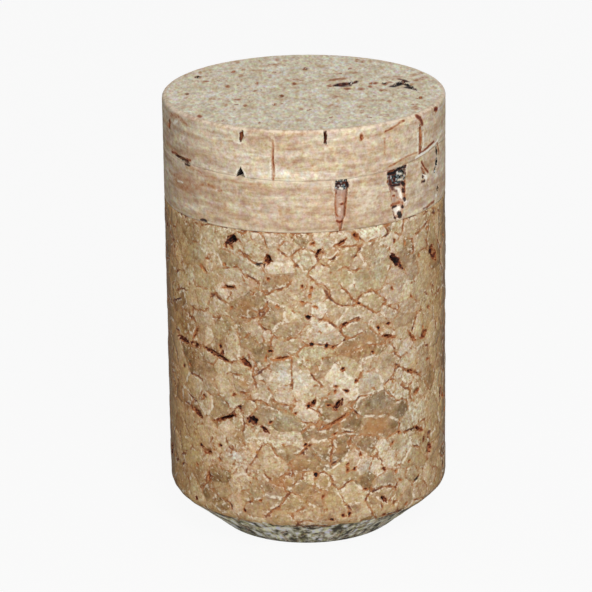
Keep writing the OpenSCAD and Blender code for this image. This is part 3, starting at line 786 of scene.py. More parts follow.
class Skin:
    """A mesh put together from patches, with numbers for each place and each triangle."""

    def __init__(self, point_values, face_values=()):
        self.places, self.triangles, self.grain = [], [], []
        self.point_values, self.face_values = point_values, face_values
        self.values = {name: [] for name in point_values + face_values}
        self.count = 0

    def add(self, places, triangles, grain, **values):
        """Adds a patch; grain is a flat place for each corner of each triangle."""
        self.places.append(places)
        self.triangles.append(triangles + self.count)
        self.grain.append(grain.reshape(-1, 2))
        self.count += len(places)
        for name, parts in self.values.items():
            size = len(places) if name in self.point_values else len(triangles)
            parts.append(np.broadcast_to(values.get(name, 0.0), size))

    def build(self, name, material):
        """Makes the object, joins its patches along their shared edges and shades it smooth."""
        mesh = bpy.data.meshes.new(name)
        places = np.concatenate(self.places) * MM
        mesh.from_pydata(places, [], np.concatenate(self.triangles))
        for value, parts in self.values.items():
            domain = "POINT" if value in self.point_values else "FACE"
            attribute = mesh.attributes.new(value, "FLOAT", domain)
            attribute.data.foreach_set("value", np.concatenate(parts).astype(np.float32))
        layer = mesh.uv_layers.new(name="grain")
        layer.data.foreach_set("uv", np.concatenate(self.grain).astype(np.float32).ravel())
        mesh.polygons.foreach_set("use_smooth", np.ones(len(mesh.polygons), bool))
        mesh.materials.append(material)
        shaped = bmesh.new()
        shaped.from_mesh(mesh)
        rims = [vertex for vertex in shaped.verts if vertex.is_boundary]
        bmesh.ops.remove_doubles(shaped, verts=rims, dist=2 * TINY)
        shaped.to_mesh(mesh)
        shaped.free()
        piece = bpy.data.objects.new(name, mesh)
        bpy.context.scene.collection.objects.link(piece)
        return piece


RING_CLEAR = 0.6         # how far a cap's points stay from its ring, as a share of their spacing


def cap_patch(ring, spacing, rng):
    """Flat places and triangles that fill a ring of (x, y) places, which may have notches."""
    angle = np.arctan2(ring[:, 1], ring[:, 0])
    order = np.argsort(angle)
    angle, reach = angle[order], np.hypot(*ring[order].T)

    def beyond(points):
        limit = np.interp(np.arctan2(points[:, 1], points[:, 0]), angle, reach, period=2 * math.pi)
        return np.hypot(*points.T) - limit

    drawing = Drawing()
    drawing.chain(ring, closed=True)
    corner = reach.max()
    inside = scattered((-corner, -corner), (corner, corner), spacing, rng)
    drawing.add(inside[beyond(inside) < -RING_CLEAR * spacing])
    flats, triangles, _ = drawing.triangles()
    return flats, triangles[beyond(flats[triangles].mean(axis=1)) < 0]


# ---------------------------------------------------------------- the body's skin

LINE_STEP = 0.22         # spacing of points along a crack
LINE_WIGGLE = 0.06       # how far a crack wanders
THIN_END = 0.45          # darkness of a crack's end, as a share of its middle's
THIN_LENGTH = 0.6        # how long it takes to thin out
GRANULE_STEP = 0.16      # spacing of the granule map's samples
SPINE_STEP = 0.4         # spacing of the points that stand for a spine
SPINE_TO_CRACK = 0.3     # how near a random spine may come to a crack
# From large to small random granules: distance between spines, longest spine, and tries.
RANDOM_GRANULES = [(2.0, 2.8, 1500), (1.5, 2.0, 3500), (1.05, 1.0, 4000)]
GROWTH_ROUNDS = 30       # enough for the granules to fill every gap
CRACK_REACH = 0.22       # a granule's border this near to a crack runs along it
BESIDE_LINE = 0.13       # distance of the points that stand beside each line
BESIDE_OTHERS = 0.75     # how near they come to another line, as a share of that distance
WALL_SQUARE, FOOT_SQUARE = 0.9, 1.1      # how widely such points are spread on the wall and the foot
GRAIN_STEP = 0.45        # spacing of the points inside a granule
GRAIN_TO_LINE = 0.7      # how near those come to a line, as a share of their spacing
SEAM_OVERLAP = 2         # how far lines are drawn on past the seam at the back
DRAWN_U, DRAWN_W = 19, 5  # the listed cracks lie within this u and above this w
JOINT_WEAR = 0.03        # how far the body's broken edge at the glued joint stands back
GROOVE = 0.03            # depth of the faintest border between granules
DARK_GROOVE = 0.12       # how much deeper the darkest one is
SWELL = 0.05             # how far a granule may stand out or back
GRANULE_ROUGH = 0.018    # fine roughness of the granules
SPECK_DEPTH = 0.2        # depth of the specks placed by hand
RANDOM_SPECKS = 90       # on the sides and the back
FRAME_GAP = 0.08         # how far loose points stay from the sides of the unrolled wall
RING_GAP = 0.12          # and from the edge of the foot
BODY_CORNERS = 20        # of a large pore's outline
BODY_CLEAR = (0.05, 0.2)  # how far loose points stay inside a pore's floor and outside its rim
FOOT_OVER = 3            # how much wider than the foot the map of its granules is
FOOT_EDGE = 0.4          # the foot's relief fades out over this width at its edge
FOOT_LINES = 0.3         # and its lines end this far from it


class Lines:
    """Lines on a flat surface as pairs of points, with a darkness at each point."""

    def __init__(self, points, pairs, ink):
        self.points, self.pairs, self.ink = points, pairs, ink

    def kept(self, choose):
        """Only the pairs with both points chosen, and the points that they need."""
        pairs = self.pairs[choose[self.pairs].all(axis=1)]
        used, numbers = np.unique(pairs, return_inverse=True)
        return Lines(self.points[used], numbers.reshape(-1, 2), self.ink[used])

    def samples(self):
        """Points along the lines, with each one's darkness and direction."""
        start, end = self.points[self.pairs].swapaxes(0, 1)
        along = end - start
        along = along / np.maximum(np.hypot(*along.T), 1e-9)[:, None]
        ink = self.ink[self.pairs].mean(axis=1)
        return (start + end) / 2, ink, along


def wavering_lines(drawn_lines):
    """Cracks and lines of painted shade, given by their corners, as lines that waver a little and thin out
    towards their ends.
    """
    points, pairs, inks = [], [], []
    count = 0
    for ink, *corners in drawn_lines:
        line = subdivided(corners, LINE_STEP)
        number = np.arange(len(line))
        from_end = np.minimum(number, number[::-1]) * LINE_STEP
        pairs.append(np.stack([number[:-1], number[1:]], axis=1) + count)
        inks.append(ink * (THIN_END + (1 - THIN_END) * smooth_step(0, THIN_LENGTH, from_end)))
        points.append(line)
        count += len(line)
    points = np.concatenate(points)
    level = np.zeros((len(points), 1))
    for axis in (0, 1):
        wander = lattice_noise(np.hstack([points, level]), 0.45, 31 + axis)
        points[:, axis] = points[:, axis] + LINE_WIGGLE * wander
    return Lines(points, np.concatenate(pairs), np.concatenate(inks))


def random_spines(taken, walls, width, low_w, high_w, rng):
    """Spines of further granules, in places that the taken spines and walls leave free."""
    spines = []
    held = np.concatenate(taken + [np.full((1, 2), FAR)])
    for gap, longest, tries in RANDOM_GRANULES:
        for _ in range(tries):
            centre = rng.uniform((-width / 2, low_w), (width / 2, high_w))
            lean = rng.uniform(0, math.pi)
            half = longest / 2 * rng.uniform(0.1, 1)
            reach = np.array([math.cos(lean), 0.8 * math.sin(lean)]) * half
            points = subdivided([centre - reach, centre + reach], SPINE_STEP)
            offset = points[:, None] - held
            offset[..., 0] -= np.round(offset[..., 0] / width) * width
            if np.min(offset[..., 0] ** 2 + offset[..., 1] ** 2) < gap ** 2:
                continue
            if len(walls) and np.min(((points[:, None] - walls) ** 2).sum(axis=2)) < SPINE_TO_CRACK ** 2:
                continue
            spines.append([centre - reach, centre + reach])
            held = np.concatenate([held, points])
    return spines


def border_lines(granules, drawn_front):
    """The granules' borders as lines, each pair of granules with a darkness of its own.

    Some are pale, with a darkness below 0. Borders are fainter on the front, where its cracks are listed.
    """
    points, pairs, holders = granules.borders()
    low, high = holders[:, 0], holders[:, 3]
    meeting = (np.diff(holders, axis=1) > 0).sum(axis=1) > 1
    chance = (hashed(np.stack([low, high], axis=1), 5) + 1) / 2
    place = np.hstack([points, np.zeros((len(points), 1))])
    waver = lattice_noise(place, 1.3, 6)
    ink = (0.1 + 0.6 * chance ** 2) * (0.8 + 0.5 * waver)
    ink = np.where(chance > 0.97, np.maximum(ink, 0.75), ink)
    if drawn_front:
        in_front = smooth_step(DRAWN_U + 2, DRAWN_U, np.abs(points[:, 0]))
        ink = ink * (1 - 0.5 * in_front * smooth_step(DRAWN_W - 1, DRAWN_W, points[:, 1]))
    pale = (hashed(np.stack([high, low], axis=1), 7) > 0.45) & (chance < 0.75)
    ink = np.where(pale, -0.75 * smooth_step(-0.6, 0.2, waver), ink)
    ink = np.where(meeting, np.maximum(ink, 0.25), ink)
    return Lines(points, pairs, np.clip(ink, -1, 1))


def merged_onto(lines, target, reach):
    """Both sets of lines as one, with points of the first that lie near the target moved onto it."""
    tree = search_tree(target.points)
    number, distance = nearest_in(tree, lines.points)
    close = distance < reach
    index = np.where(close, number, np.arange(len(lines.points)) + len(target.points))
    pairs = index[lines.pairs]
    fresh = (pairs >= len(target.points)).any(axis=1) & (pairs[:, 0] != pairs[:, 1])
    points = np.concatenate([target.points, lines.points])
    ink = np.concatenate([target.ink, lines.ink])
    return Lines(points, np.concatenate([target.pairs, pairs[fresh]]), ink)


def smoothed(lines, rounds):
    """The lines with each point drawn towards its neighbours, where just two lines meet."""
    points = lines.points.copy()
    degree = np.bincount(lines.pairs.ravel(), minlength=len(points))
    for _ in range(rounds):
        total = np.zeros_like(points)
        for a, b in ((0, 1), (1, 0)):
            np.add.at(total, lines.pairs[:, a], points[lines.pairs[:, b]])
        middle = total / np.maximum(degree, 1)[:, None]
        points = np.where((degree == 2)[:, None], (points + middle) / 2, points)
    return Lines(points, lines.pairs, lines.ink)


def unwrapped(lines, width):
    """Lines on a wall that is width round, with copies of what lies near the seam on both sides."""
    count = len(lines.points)
    points = np.concatenate([lines.points + (turn * width, 0) for turn in (-1, 0, 1)])
    span = lines.points[lines.pairs[:, 0], 0] - lines.points[lines.pairs[:, 1], 0]
    pairs = [lines.pairs[np.abs(span) < width / 2] + turn * count for turn in (0, 1, 2)]
    crossing = lines.pairs[np.abs(span) >= width / 2]
    right_first = lines.points[crossing[:, 0], 0] > 0
    crossing = np.where(right_first[:, None], crossing, crossing[:, ::-1])
    pairs += [crossing + (turn * count, (turn + 1) * count) for turn in (0, 1)]
    whole = Lines(points, np.concatenate(pairs), np.tile(lines.ink, 3))
    return whole.kept(np.abs(points[:, 0]) < width / 2 + SEAM_OVERLAP)


def beside(lines, distance):
    """Points on both sides of each line."""
    middle, _, along = lines.samples()
    side = np.stack([-along[:, 1], along[:, 0]], axis=1) * distance
    return np.concatenate([middle + side, middle - side])


def clear_of(points, tree, distance):
    """The points that lie at least a distance from everything in a tree."""
    return points[nearest_in(tree, points)[1] > distance]


def points_off_lines(lines, low, high, square, rng, others=np.empty((0, 2))):
    """Points beside the lines and, over a rectangle, a wider spread of points between them.

    others are flat places to keep away from as well. Beside the lines, a square of a grid
    holds one point at most, and square is its size as a share of BESIDE_LINE.
    """
    tree = search_tree(np.concatenate([lines.points, lines.samples()[0], others]))
    near = clear_of(beside(lines, BESIDE_LINE), tree, BESIDE_LINE * BESIDE_OTHERS)
    between = clear_of(scattered(low, high, GRAIN_STEP, rng), tree, GRAIN_STEP * GRAIN_TO_LINE)
    return np.concatenate([one_per_square(near, BESIDE_LINE * square), between])


def wall_frame(drawing, low_w, high_w, step):
    """Draws the four sides of the unrolled wall, alike on both sides of the seam."""
    half = around / 2
    heights = np.linspace(low_w, high_w, round((high_w - low_w) / step) + 1)
    turns = np.linspace(-half, half, round(around / step) + 1)
    for u in (-half, half):
        drawing.chain([(u, w) for w in heights])
    for w in (low_w, high_w):
        drawing.chain([(u, w) for u in turns])


def on_wall(points, low_w, high_w, gap=0.0):
    """Which points lie on the unrolled wall, a gap inside its four sides."""
    across, w = np.abs(points[:, 0]), points[:, 1]
    return (across < around / 2 - gap) & (w > low_w + gap) & (w < high_w - gap)


def regions(triangles, fences):
    """A number for each triangle, shared by all that no fence parts from it."""
    sides = np.sort(np.stack([triangles, np.roll(triangles, -1, axis=1)], axis=2).reshape(-1, 2), axis=1)
    keys = sides[:, 0] * (triangles.max() + 1) + sides[:, 1]
    barred = np.isin(keys, fences[:, 0] * (triangles.max() + 1) + fences[:, 1])
    order = np.argsort(keys, kind="stable")
    twin = (keys[order[1:]] == keys[order[:-1]]) & ~barred[order[1:]]
    a, b = order[:-1][twin] // 3, order[1:][twin] // 3
    label = np.arange(len(triangles))
    while True:
        low = np.minimum(label[a], label[b])
        joined = label.copy()
        np.minimum.at(joined, label[a], low)
        np.minimum.at(joined, label[b], low)
        joined = joined[joined]
        if np.array_equal(joined, label):
            return label
        label = joined


def line_values(lines, flats):
    """Distance from each place to the nearest line, and that line's darkness."""
    samples, ink, _ = lines.samples()
    tree = search_tree(np.concatenate([lines.points, samples]))
    number, distance = nearest_in(tree, flats)
    return distance, np.concatenate([lines.ink, ink])[number]


# ---------------------------------------------------------------- camera, light and floor

VIEW_DISTANCE = 400      # from the cork's middle
VIEW_ELEVATION = 19.09
VIEW_ROLL = 0.70         # the camera leans to the right
FRAME_PIXELS = 592
PIXELS_PER_MM = 9.112    # at the cork's middle
MIDDLE_RIGHT = 10.1      # pixels from the frame's centre to the cork's middle
MIDDLE_DOWN = 8.2
FILL_STRENGTH = 0.16     # of the even light from all round
FLOOR_WHITE = 0.93       # how much of the floor's look is plain white; the rest takes the shadow


def add_camera():
    """The camera, turned so that the cork sits slightly right of and below the centre."""
    elevation = math.radians(VIEW_ELEVATION)
    middle = Vector((0, 0, cork_h / 2))
    back = Vector((0, -math.cos(elevation), math.sin(elevation)))
    focal = PIXELS_PER_MM * VIEW_DISTANCE
    data = bpy.data.cameras.new("camera")
    data.sensor_width = 36
    data.lens = data.sensor_width * focal / FRAME_PIXELS
    data.clip_start = 0.01
    data.clip_end = 20
    camera = bpy.data.objects.new("camera", data)
    pan = Matrix.Rotation(math.atan(MIDDLE_RIGHT / focal), 4, "Y")
    tilt = Matrix.Rotation(math.atan(MIDDLE_DOWN / focal), 4, "X")
    roll = Matrix.Rotation(-math.radians(VIEW_ROLL), 4, "Z")
    level = Matrix.Rotation(math.radians(90 - VIEW_ELEVATION), 4, "X")
    place = Matrix.Translation((middle + back * VIEW_DISTANCE) * MM)
    camera.matrix_world = place @ level @ pan @ tilt @ roll
    bpy.context.scene.collection.objects.link(camera)
    bpy.context.scene.camera = camera


def add_area_light(name, place, size, watts, colour):
    """A square soft light at place (mm), aimed at the cork's middle."""
    data = bpy.data.lights.new(name, "AREA")
    data.size = size * MM
    data.energy = watts
    data.color = colour
    light = bpy.data.objects.new(name, data)
    light.location = Vector(place) * MM
    aim = Vector((0, 0, cork_h / 2)) * MM - light.location
    light.rotation_euler = aim.to_track_quat("-Z", "Y").to_euler()
    bpy.context.scene.collection.objects.link(light)


def seen_directly(tree):
    """A value that is 1 where a ray comes from the camera, a mirror or glass, and 0 elsewhere."""
    path = tree.nodes.new("ShaderNodeLightPath")
    total = path.outputs["Is Camera Ray"]
    for name in ("Is Glossy Ray", "Is Transmission Ray"):
        total = math_node(tree, "MAXIMUM", total, path.outputs[name])
    return total


def put(tree, socket, value):
    """Links a socket to another, or sets its number, colour or place."""
    if isinstance(value, bpy.types.NodeSocket):
        tree.links.new(value, socket)
    else:
        socket.default_value = value


def math_node(tree, operation, first, second, clamp=False):
    """The result of one Math node; each input is a socket or a number."""
    node = tree.nodes.new("ShaderNodeMath")
    node.operation = operation
    node.use_clamp = clamp
    put(tree, node.inputs[0], first)
    put(tree, node.inputs[1], second)
    return node.outputs[0]


def white_for_the_eye(tree, white, other, output, share=1.0):
    """Shows one shader directly, by the given share, and lights the scene with the other."""
    mix = tree.nodes.new("ShaderNodeMixShader")
    directly = seen_directly(tree)
    if share < 1:
        directly = math_node(tree, "MULTIPLY", directly, share)
    tree.links.new(directly, mix.inputs["Fac"])
    tree.links.new(other.outputs[0], mix.inputs[1])
    tree.links.new(white.outputs[0], mix.inputs[2])
    tree.links.new(mix.outputs[0], output.inputs["Surface"])


def add_world():
    """Even studio light, seen as white by the camera."""
    world = bpy.data.worlds.new("studio")
    bpy.context.scene.world = world
    world.use_nodes = True
    tree = world.node_tree
    tree.nodes.clear()
    output = tree.nodes.new("ShaderNodeOutputWorld")
    fill = tree.nodes.new("ShaderNodeBackground")
    fill.inputs["Color"].default_value = (0.97, 0.98, 1.0, 1)
    fill.inputs["Strength"].default_value = FILL_STRENGTH
    white = tree.nodes.new("ShaderNodeBackground")
    white.inputs["Color"].default_value = (1, 1, 1, 1)
    white.inputs["Strength"].default_value = 1.0
    white_for_the_eye(tree, white, fill, output)


def add_floor():
    """A wide pale floor that keeps a soft shadow of the cork."""
    half = 3.0      # metres
    mesh = bpy.data.meshes.new("floor")
    corners = [(-half, -half, 0), (half, -half, 0), (half, half, 0), (-half, half, 0)]
    mesh.from_pydata(corners, [], [(0, 1, 2, 3)])
    floor = bpy.data.objects.new("floor", mesh)
    bpy.context.scene.collection.objects.link(floor)
    material = bpy.data.materials.new("pale_floor")
    material.use_nodes = True
    tree = material.node_tree
    tree.nodes.clear()
    output = tree.nodes.new("ShaderNodeOutputMaterial")
    matt = tree.nodes.new("ShaderNodeBsdfDiffuse")
    matt.inputs["Color"].default_value = (0.45, 0.45, 0.44, 1)
    white = tree.nodes.new("ShaderNodeEmission")
    white.inputs["Color"].default_value = (1, 1, 1, 1)
    white.inputs["Strength"].default_value = 1.0
    white_for_the_eye(tree, white, matt, output, FLOOR_WHITE)
    mesh.materials.append(material)


def add_lights():
    """A broad key light above the camera, a weaker one low in front and a little light from above."""
    add_area_light("key", (80, -480, 440), 260, 2.45, (1.0, 0.99, 0.97))
    add_area_light("front", (40, -560, 90), 260, 1.2, (1.0, 0.995, 0.985))
    add_area_light("top", (0, -60, 520), 300, 0.25, (1.0, 1.0, 1.0))


# ---------------------------------------------------------------- shader nodes


def paint(red, green, blue):
    """A colour given as it looks on a screen, from 0 to 255, for a shader socket."""
    parts = [channel / 255 for channel in (red, green, blue)]
    linear = [p / 12.92 if p <= 0.04045 else ((p + 0.055) / 1.055) ** 2.4 for p in parts]
    return (*linear, 1.0)


# How red, green and blue swing together.
CREAM = (0.6, 1.0, 1.3)          # from brown to cream
YELLOW = (0.45, 0.45, -1.0)      # from blue to yellow
RED = (1.0, -1.0, 0.2)           # from green to red
ORANGE = (0.45, -0.25, -1.2)     # from a greenish grey to orange


class Nodes:
    """Short ways to add nodes to a new material."""

    def __init__(self, name):
        self.material = bpy.data.materials.new(name)
        self.material.use_nodes = True
        self.tree = self.material.node_tree
        self.surface = self.tree.nodes["Principled BSDF"]
        self.solid = self.tree.nodes.new("ShaderNodeTexCoord").outputs["Object"]

    def vector(self, operation, *values):
        """The result of one Vector Math node."""
        node = self.tree.nodes.new("ShaderNodeVectorMath")
        node.operation = operation
        for socket, value in zip(node.inputs, values):
            put(self.tree, socket, value)
        return node.outputs[0]

    def value(self, name):
        """A number that the mesh holds for each place or triangle."""
        node = self.tree.nodes.new("ShaderNodeAttribute")
        node.attribute_name = name
        return node.outputs["Fac"]

    def height(self):
        """The height above the floor, in millimetres."""
        node = self.tree.nodes.new("ShaderNodeSeparateXYZ")
        self.tree.links.new(self.solid, node.inputs[0])
        return self.math("MULTIPLY", node.outputs["Z"], 1 / MM)

    def noise(self, sizes, detail=2.0, where=None, shift=0.0, distortion=0.0):
        """Noise about 0.5 with features of the given size, or sizes along the axes, in millimetres."""
        sizes = (sizes,) * 3 if isinstance(sizes, (int, float)) else sizes
        if where is None:
            where = self.solid
            sizes = tuple(size * MM for size in sizes)
        node = self.tree.nodes.new("ShaderNodeTexNoise")
        node.noise_dimensions = "4D"
        self.tree.links.new(self.vector("DIVIDE", where, sizes), node.inputs["Vector"])
        node.inputs["W"].default_value = shift
        node.inputs["Scale"].default_value = 1.0
        node.inputs["Detail"].default_value = detail
        node.inputs["Distortion"].default_value = distortion
        return node.outputs["Fac"]

    def math(self, operation, first, second, clamp=False):
        """The result of one Math node."""
        return math_node(self.tree, operation, first, second, clamp)

    def times(self, *values):
        """All the values multiplied."""
        total = values[0]
        for value in values[1:]:
            total = self.math("MULTIPLY", total, value)
        return total

    def smooth(self, value, low, high, start=0.0, end=1.0):
        """start below low, end above high, and an even slope between; high may lie below low."""
        node = self.tree.nodes.new("ShaderNodeMapRange")
        node.interpolation_type = "SMOOTHSTEP"
        if high < low:
            low, high, start, end = high, low, end, start
        self.tree.links.new(value, node.inputs["Value"])
        for name, number in (("From Min", low), ("From Max", high), ("To Min", start), ("To Max", end)):
            node.inputs[name].default_value = number
        return node.outputs[0]

    def swing(self, middle, *parts):
        """A middle value that swings with each part's noise about 0.5, by the part's amount."""
        for noise, amount in parts:
            swung = self.times(self.math("SUBTRACT", noise, 0.5), amount)
            middle = self.math("ADD", swung, middle)
        return middle

    def ramp(self, value, stops):
        """A colour for a value, from (value, colour) stops."""
        node = self.tree.nodes.new("ShaderNodeValToRGB")
        elements = node.color_ramp.elements
        while len(elements) < len(stops):
            elements.new(0.5)
        for element, (place, colour) in zip(elements, stops):
            element.position = place
            element.color = colour
        self.tree.links.new(value, node.inputs[0])
        return node.outputs["Color"]

    def mix(self, share, first, second):
        """The first colour, or the second where the share is 1."""
        node = self.tree.nodes.new("ShaderNodeMix")
        node.data_type = "RGBA"
        for number, value in ((0, share), (6, first), (7, second)):
            put(self.tree, node.inputs[number], value)
        return node.outputs[2]

    def bump(self, height, strength, distance):
        """Fine relief, its height from 0 to 1 over a distance in millimetres."""
        node = self.tree.nodes.new("ShaderNodeBump")
        node.inputs["Strength"].default_value = strength
        node.inputs["Distance"].default_value = distance * MM
        self.tree.links.new(height, node.inputs["Height"])
        self.tree.links.new(node.outputs[0], self.surface.inputs["Normal"])

    def grain(self):
        """Flat coordinates that lie along a granule's fibres, in millimetres."""
        node = self.tree.nodes.new("ShaderNodeUVMap")
        node.uv_map = "grain"
        return node.outputs[0]

    def round_wall(self):
        """Coordinates that stay the same from the wall straight in to the axis, in millimetres."""
        outward = self.vector("NORMALIZE", self.vector("MULTIPLY", self.solid, (1 / MM, 1 / MM, 0)))
        upward = self.vector("MULTIPLY", self.solid, (0, 0, 1 / MM))
        return self.vector("MULTIPLY_ADD", outward, (wall_r, wall_r, wall_r), upward)

    def blend(self, share, first, second):
        """The first number, or the second where the share is 1."""
        return self.math("ADD", first, self.times(self.math("SUBTRACT", second, first), share))

    def shaded(self, colour, channels, *parts):
        """A colour that follows noise about 0.5, each channel by its own share of the amounts."""
        tint = self.vector("MULTIPLY_ADD", self.swing(0.0, *parts), channels, (1, 1, 1))
        return self.vector("MULTIPLY", colour, tint)

    def grazing(self):
        """0 where the surface faces the eye, and 1 where it is seen edge-on."""
        return self.tree.nodes.new("ShaderNodeLayerWeight").outputs["Facing"]

    def finish(self, colour, height, strength, distance):
        """Gives the matt surface its colour and fine relief, and returns the material."""
        self.tree.links.new(colour, self.surface.inputs["Base Color"])
        self.surface.inputs["Roughness"].default_value = 0.8
        self.surface.inputs["Specular IOR Level"].default_value = 0.25
        self.bump(height, strength, distance)
        return self.material


# ---------------------------------------------------------------- the body

NATURAL_TONES = (0.57, 0.08)      # mean and spread of the tones of most granules
ODD_GRANULES = 0.1                # share of granules that are grey-brown, and that are cream


def random_tone(rng):
    """A granule's tone: mostly tan, now and then grey-brown or cream."""
    kind = rng.uniform()
    if kind < ODD_GRANULES:
        return rng.uniform(0.08, 0.3)
    if kind > 1 - ODD_GRANULES:
        return rng.uniform(0.84, 0.98)
    return float(np.clip(rng.normal(*NATURAL_TONES), 0.3, 0.85))


def planted(granules, known, walls, width, low_w, high_w, rng):
    """Starts the known granules and random ones in the gaps, and returns the tone of each."""
    tones = [tone for tone, *_ in known]
    taken = [subdivided(spine, SPINE_STEP) for _, *spine in known]
    loose = random_spines(taken, walls, width, low_w, high_w, rng)
    for spine in [spine for _, *spine in known] + loose:
        granules.plant(spine)
    return np.array(tones + [random_tone(rng) for _ in loose])


def turned_grain(flats, triangles, owners, rng):
    """Flat places for each triangle's corners, turned and moved as the granule's fibres lie."""
    count = owners.max() + 1
    turn = rng.uniform(0, math.pi, count)[owners][:, None]
    shift = rng.uniform(0, 300, (count, 2))[owners][:, None]
    u, w = flats[triangles][..., 0], flats[triangles][..., 1]
    along = u * np.cos(turn) + w * np.sin(turn)
    across = w * np.cos(turn) - u * np.sin(turn)
    return np.stack([along, across], axis=-1) + shift


def granule_patch(skin, granules, tones, lines, pores, drawing, loose, inside, ground, rng,
                  stains=(), shades=(), hues=(), joint_w=None, facing=1):
    """Cuts a drawing of granules into triangles, gives them relief and adds them to a skin.

    The lines sink as grooves, and a torn line runs along the joint at joint_w, where there is one.
    """
    drawing.add(lines.points, lines.pairs)

    def corner_count(pore):
        return BODY_CORNERS if pore.half_length > SMALL_PORE else FEW_CORNERS

    drawing.add(draw_pores(drawing, pores, loose, corner_count, BODY_CLEAR))
    flats, triangles, fences = drawing.triangles()
    area = regions(triangles, fences)
    within = inside(flats[triangles].mean(axis=1))
    triangles, area = triangles[within], area[within]
    flats, triangles = without_spare(flats, triangles)

    edge, ink = line_values(lines, flats)
    if joint_w is not None:
        below = joint_w - flats[:, 1]
        torn = 0.2 + 0.7 * lattice_noise(ground(flats, 0.0), 1.6, 25)
        ink = np.where(below < edge, np.clip(torn, 0, 0.8), ink)
        edge = np.minimum(edge, np.maximum(below, 0))
    deep, hole_dark, hole = pore_values(pores, flats)
    solid = ground(flats, 0.0)
    here = granules.owners(flats)
    dark = np.clip(ink, 0, 1)
    groove = (GROOVE + DARK_GROOVE * dark ** 2) * smooth_step(0.1 + 0.1 * dark, 0.0, edge)
    swell = SWELL * hashed(np.stack([here, here], axis=1), 8) * smooth_step(0.0, 0.25, edge)
    rough = GRANULE_ROUGH * layered_noise(solid, 0.7, 21)
    places = ground(flats, np.maximum(groove, deep) + swell + rough)

    deepest = np.lexsort((edge[triangles].sum(axis=1), area))
    last = np.append(np.diff(area[deepest]) > 0, True)
    centre = flats[triangles[deepest[last]]].mean(axis=1)
    _, number = np.unique(area, return_inverse=True)
    owners = granules.owners(centre)[number]
    streaks = rng.uniform(0, 1, len(tones)) ** 2
    warmth = np.clip(rng.normal(0.45, 0.25, len(tones)), 0, 1)
    stain = np.maximum(hole * hole_dark, spots(flats, stains))
    shade, hue = spots(flats, shades), spots(flats, hues)
    triangles = triangles[:, ::facing]
    skin.add(places, triangles, turned_grain(flats, triangles, owners, rng), edge=edge, ink=ink, hole=hole,
             dark=hole_dark, stain=stain, shade=shade, hue=hue, tone=tones[owners], warmth=warmth[owners],
             streaks=streaks[owners])
    return flats, places


def spots(flats, ovals):
    """The sum of soft ovals, each as strong at its middle as its first number says."""
    total = np.zeros(len(flats))
    for strength, u, w, half_width, half_height in ovals:
        share = np.hypot((flats[:, 0] - u) / half_width, (flats[:, 1] - w) / half_height)
        total += strength * smooth_step(1.0, 0.3, share)
    return np.clip(total, -1, 1)


def strokes(flats, marks):
    """Strokes of a brush, each with its strength, half its width and the corners it runs through."""
    total = np.zeros(len(flats))
    for strength, half_width, *corners in marks:
        away = nearest_in(search_tree(subdivided(corners, half_width / 2)), flats)[1]
        total = np.maximum(total, strength * smooth_step(1.7, 0.3, away / half_width))
    return total


def without_spare(flats, triangles):
    """Only the places that some triangle uses, with the triangles renumbered."""
    used, numbers = np.unique(triangles, return_inverse=True)
    return flats[used], numbers.reshape(-1, 3)


def rim_places(flats, places, w):
    """The places along one end of an unrolled wall, in order round it."""
    level = np.flatnonzero(np.abs(flats[:, 1] - w) < 1e-3)
    level = level[np.argsort(flats[level, 0])][:-1]
    return places[level]


def body_wall_patch(skin):
    """The body's wall, rounding and bevel."""
    rng = np.random.default_rng(4)
    low_w, high_w = foot_w, lower_joint_z
    low_map, high_map = low_w - 2 * GRANULE_STEP, high_w + 2 * GRANULE_STEP
    drawn_lines = wavering_lines(CRACKS_AND_SHADE_LINES)
    granules = GranuleMap(around, low_map, high_map, GRANULE_STEP, body_wall.ground)
    for _, *corners in CRACKS_AND_SHADE_LINES:
        granules.add_wall(corners)
    tones = planted(granules, GRANULES, drawn_lines.points, around, low_map, high_map, rng)
    granules.grow(GROWTH_ROUNDS)
    lines = smoothed(unwrapped(border_lines(granules, True), around), 2)
    lines = merged_onto(lines, drawn_lines, CRACK_REACH)

    pores = [Pore(unrolled(angle), *rest) for angle, *rest in BODY_PORES]
    pores += drawn_specks() + random_specks(rng)
    low, high = (-around / 2, low_w), (around / 2, high_w)
    loose = points_off_lines(lines, low, high, WALL_SQUARE, rng)
    loose = loose[on_wall(loose, low_w, high_w, FRAME_GAP)]
    drawing = Drawing()
    wall_frame(drawing, low_w, high_w, GRAIN_STEP)

    def inside(centres):
        return on_wall(centres, low_w, high_w)

    def ground(flats, sink):
        firm = smooth_step(low_w, low_w + 0.3, flats[:, 1])
        chipped = np.clip(lattice_noise(body_wall.ground(flats, 0.0), 1.1, 27) - 0.2, 0, 1)
        worn = (JOINT_WEAR + 0.2 * chipped) * smooth_step(high_w - 0.4, high_w, flats[:, 1])
        return body_wall.ground(flats, sink * firm + worn)

    return granule_patch(skin, granules, tones, lines, pores, drawing, loose, inside, ground, rng, STAINS,
                         SHADES, HUES, high_w)


def drawn_specks():
    """The small specks that are listed: darker ones are larger, and each is turned its own way."""
    pores = []
    for dark, *places in SPECKS:
        for u, w in places:
            width, length = 0.24 + 0.12 * dark, 0.32 + 0.2 * dark
            pores.append(Pore(u, w, width, length, 0, u * 40 + w * 70, SPECK_DEPTH, dark))
    return pores


def random_specks(rng):
    """Small specks and pits for the sides and the back, beyond those listed."""
    pores = []
    while len(pores) < RANDOM_SPECKS:
        u, w = rng.uniform((-around / 2 + 1, bevel_h), (around / 2 - 1, lower_joint_z - 1))
        if abs(u) > DRAWN_U:
            size = rng.uniform(0.2, 0.55) + (0.5 if rng.uniform() < 0.2 else 0)
            dark = rng.uniform(0.4, 1)
            length, slant, depth = size * rng.uniform(1.2, 3), rng.uniform(-90, 90), 0.25 + 0.5 * size
            pores.append(Pore(u, w, size, length, 0, slant, depth, dark))
    return pores


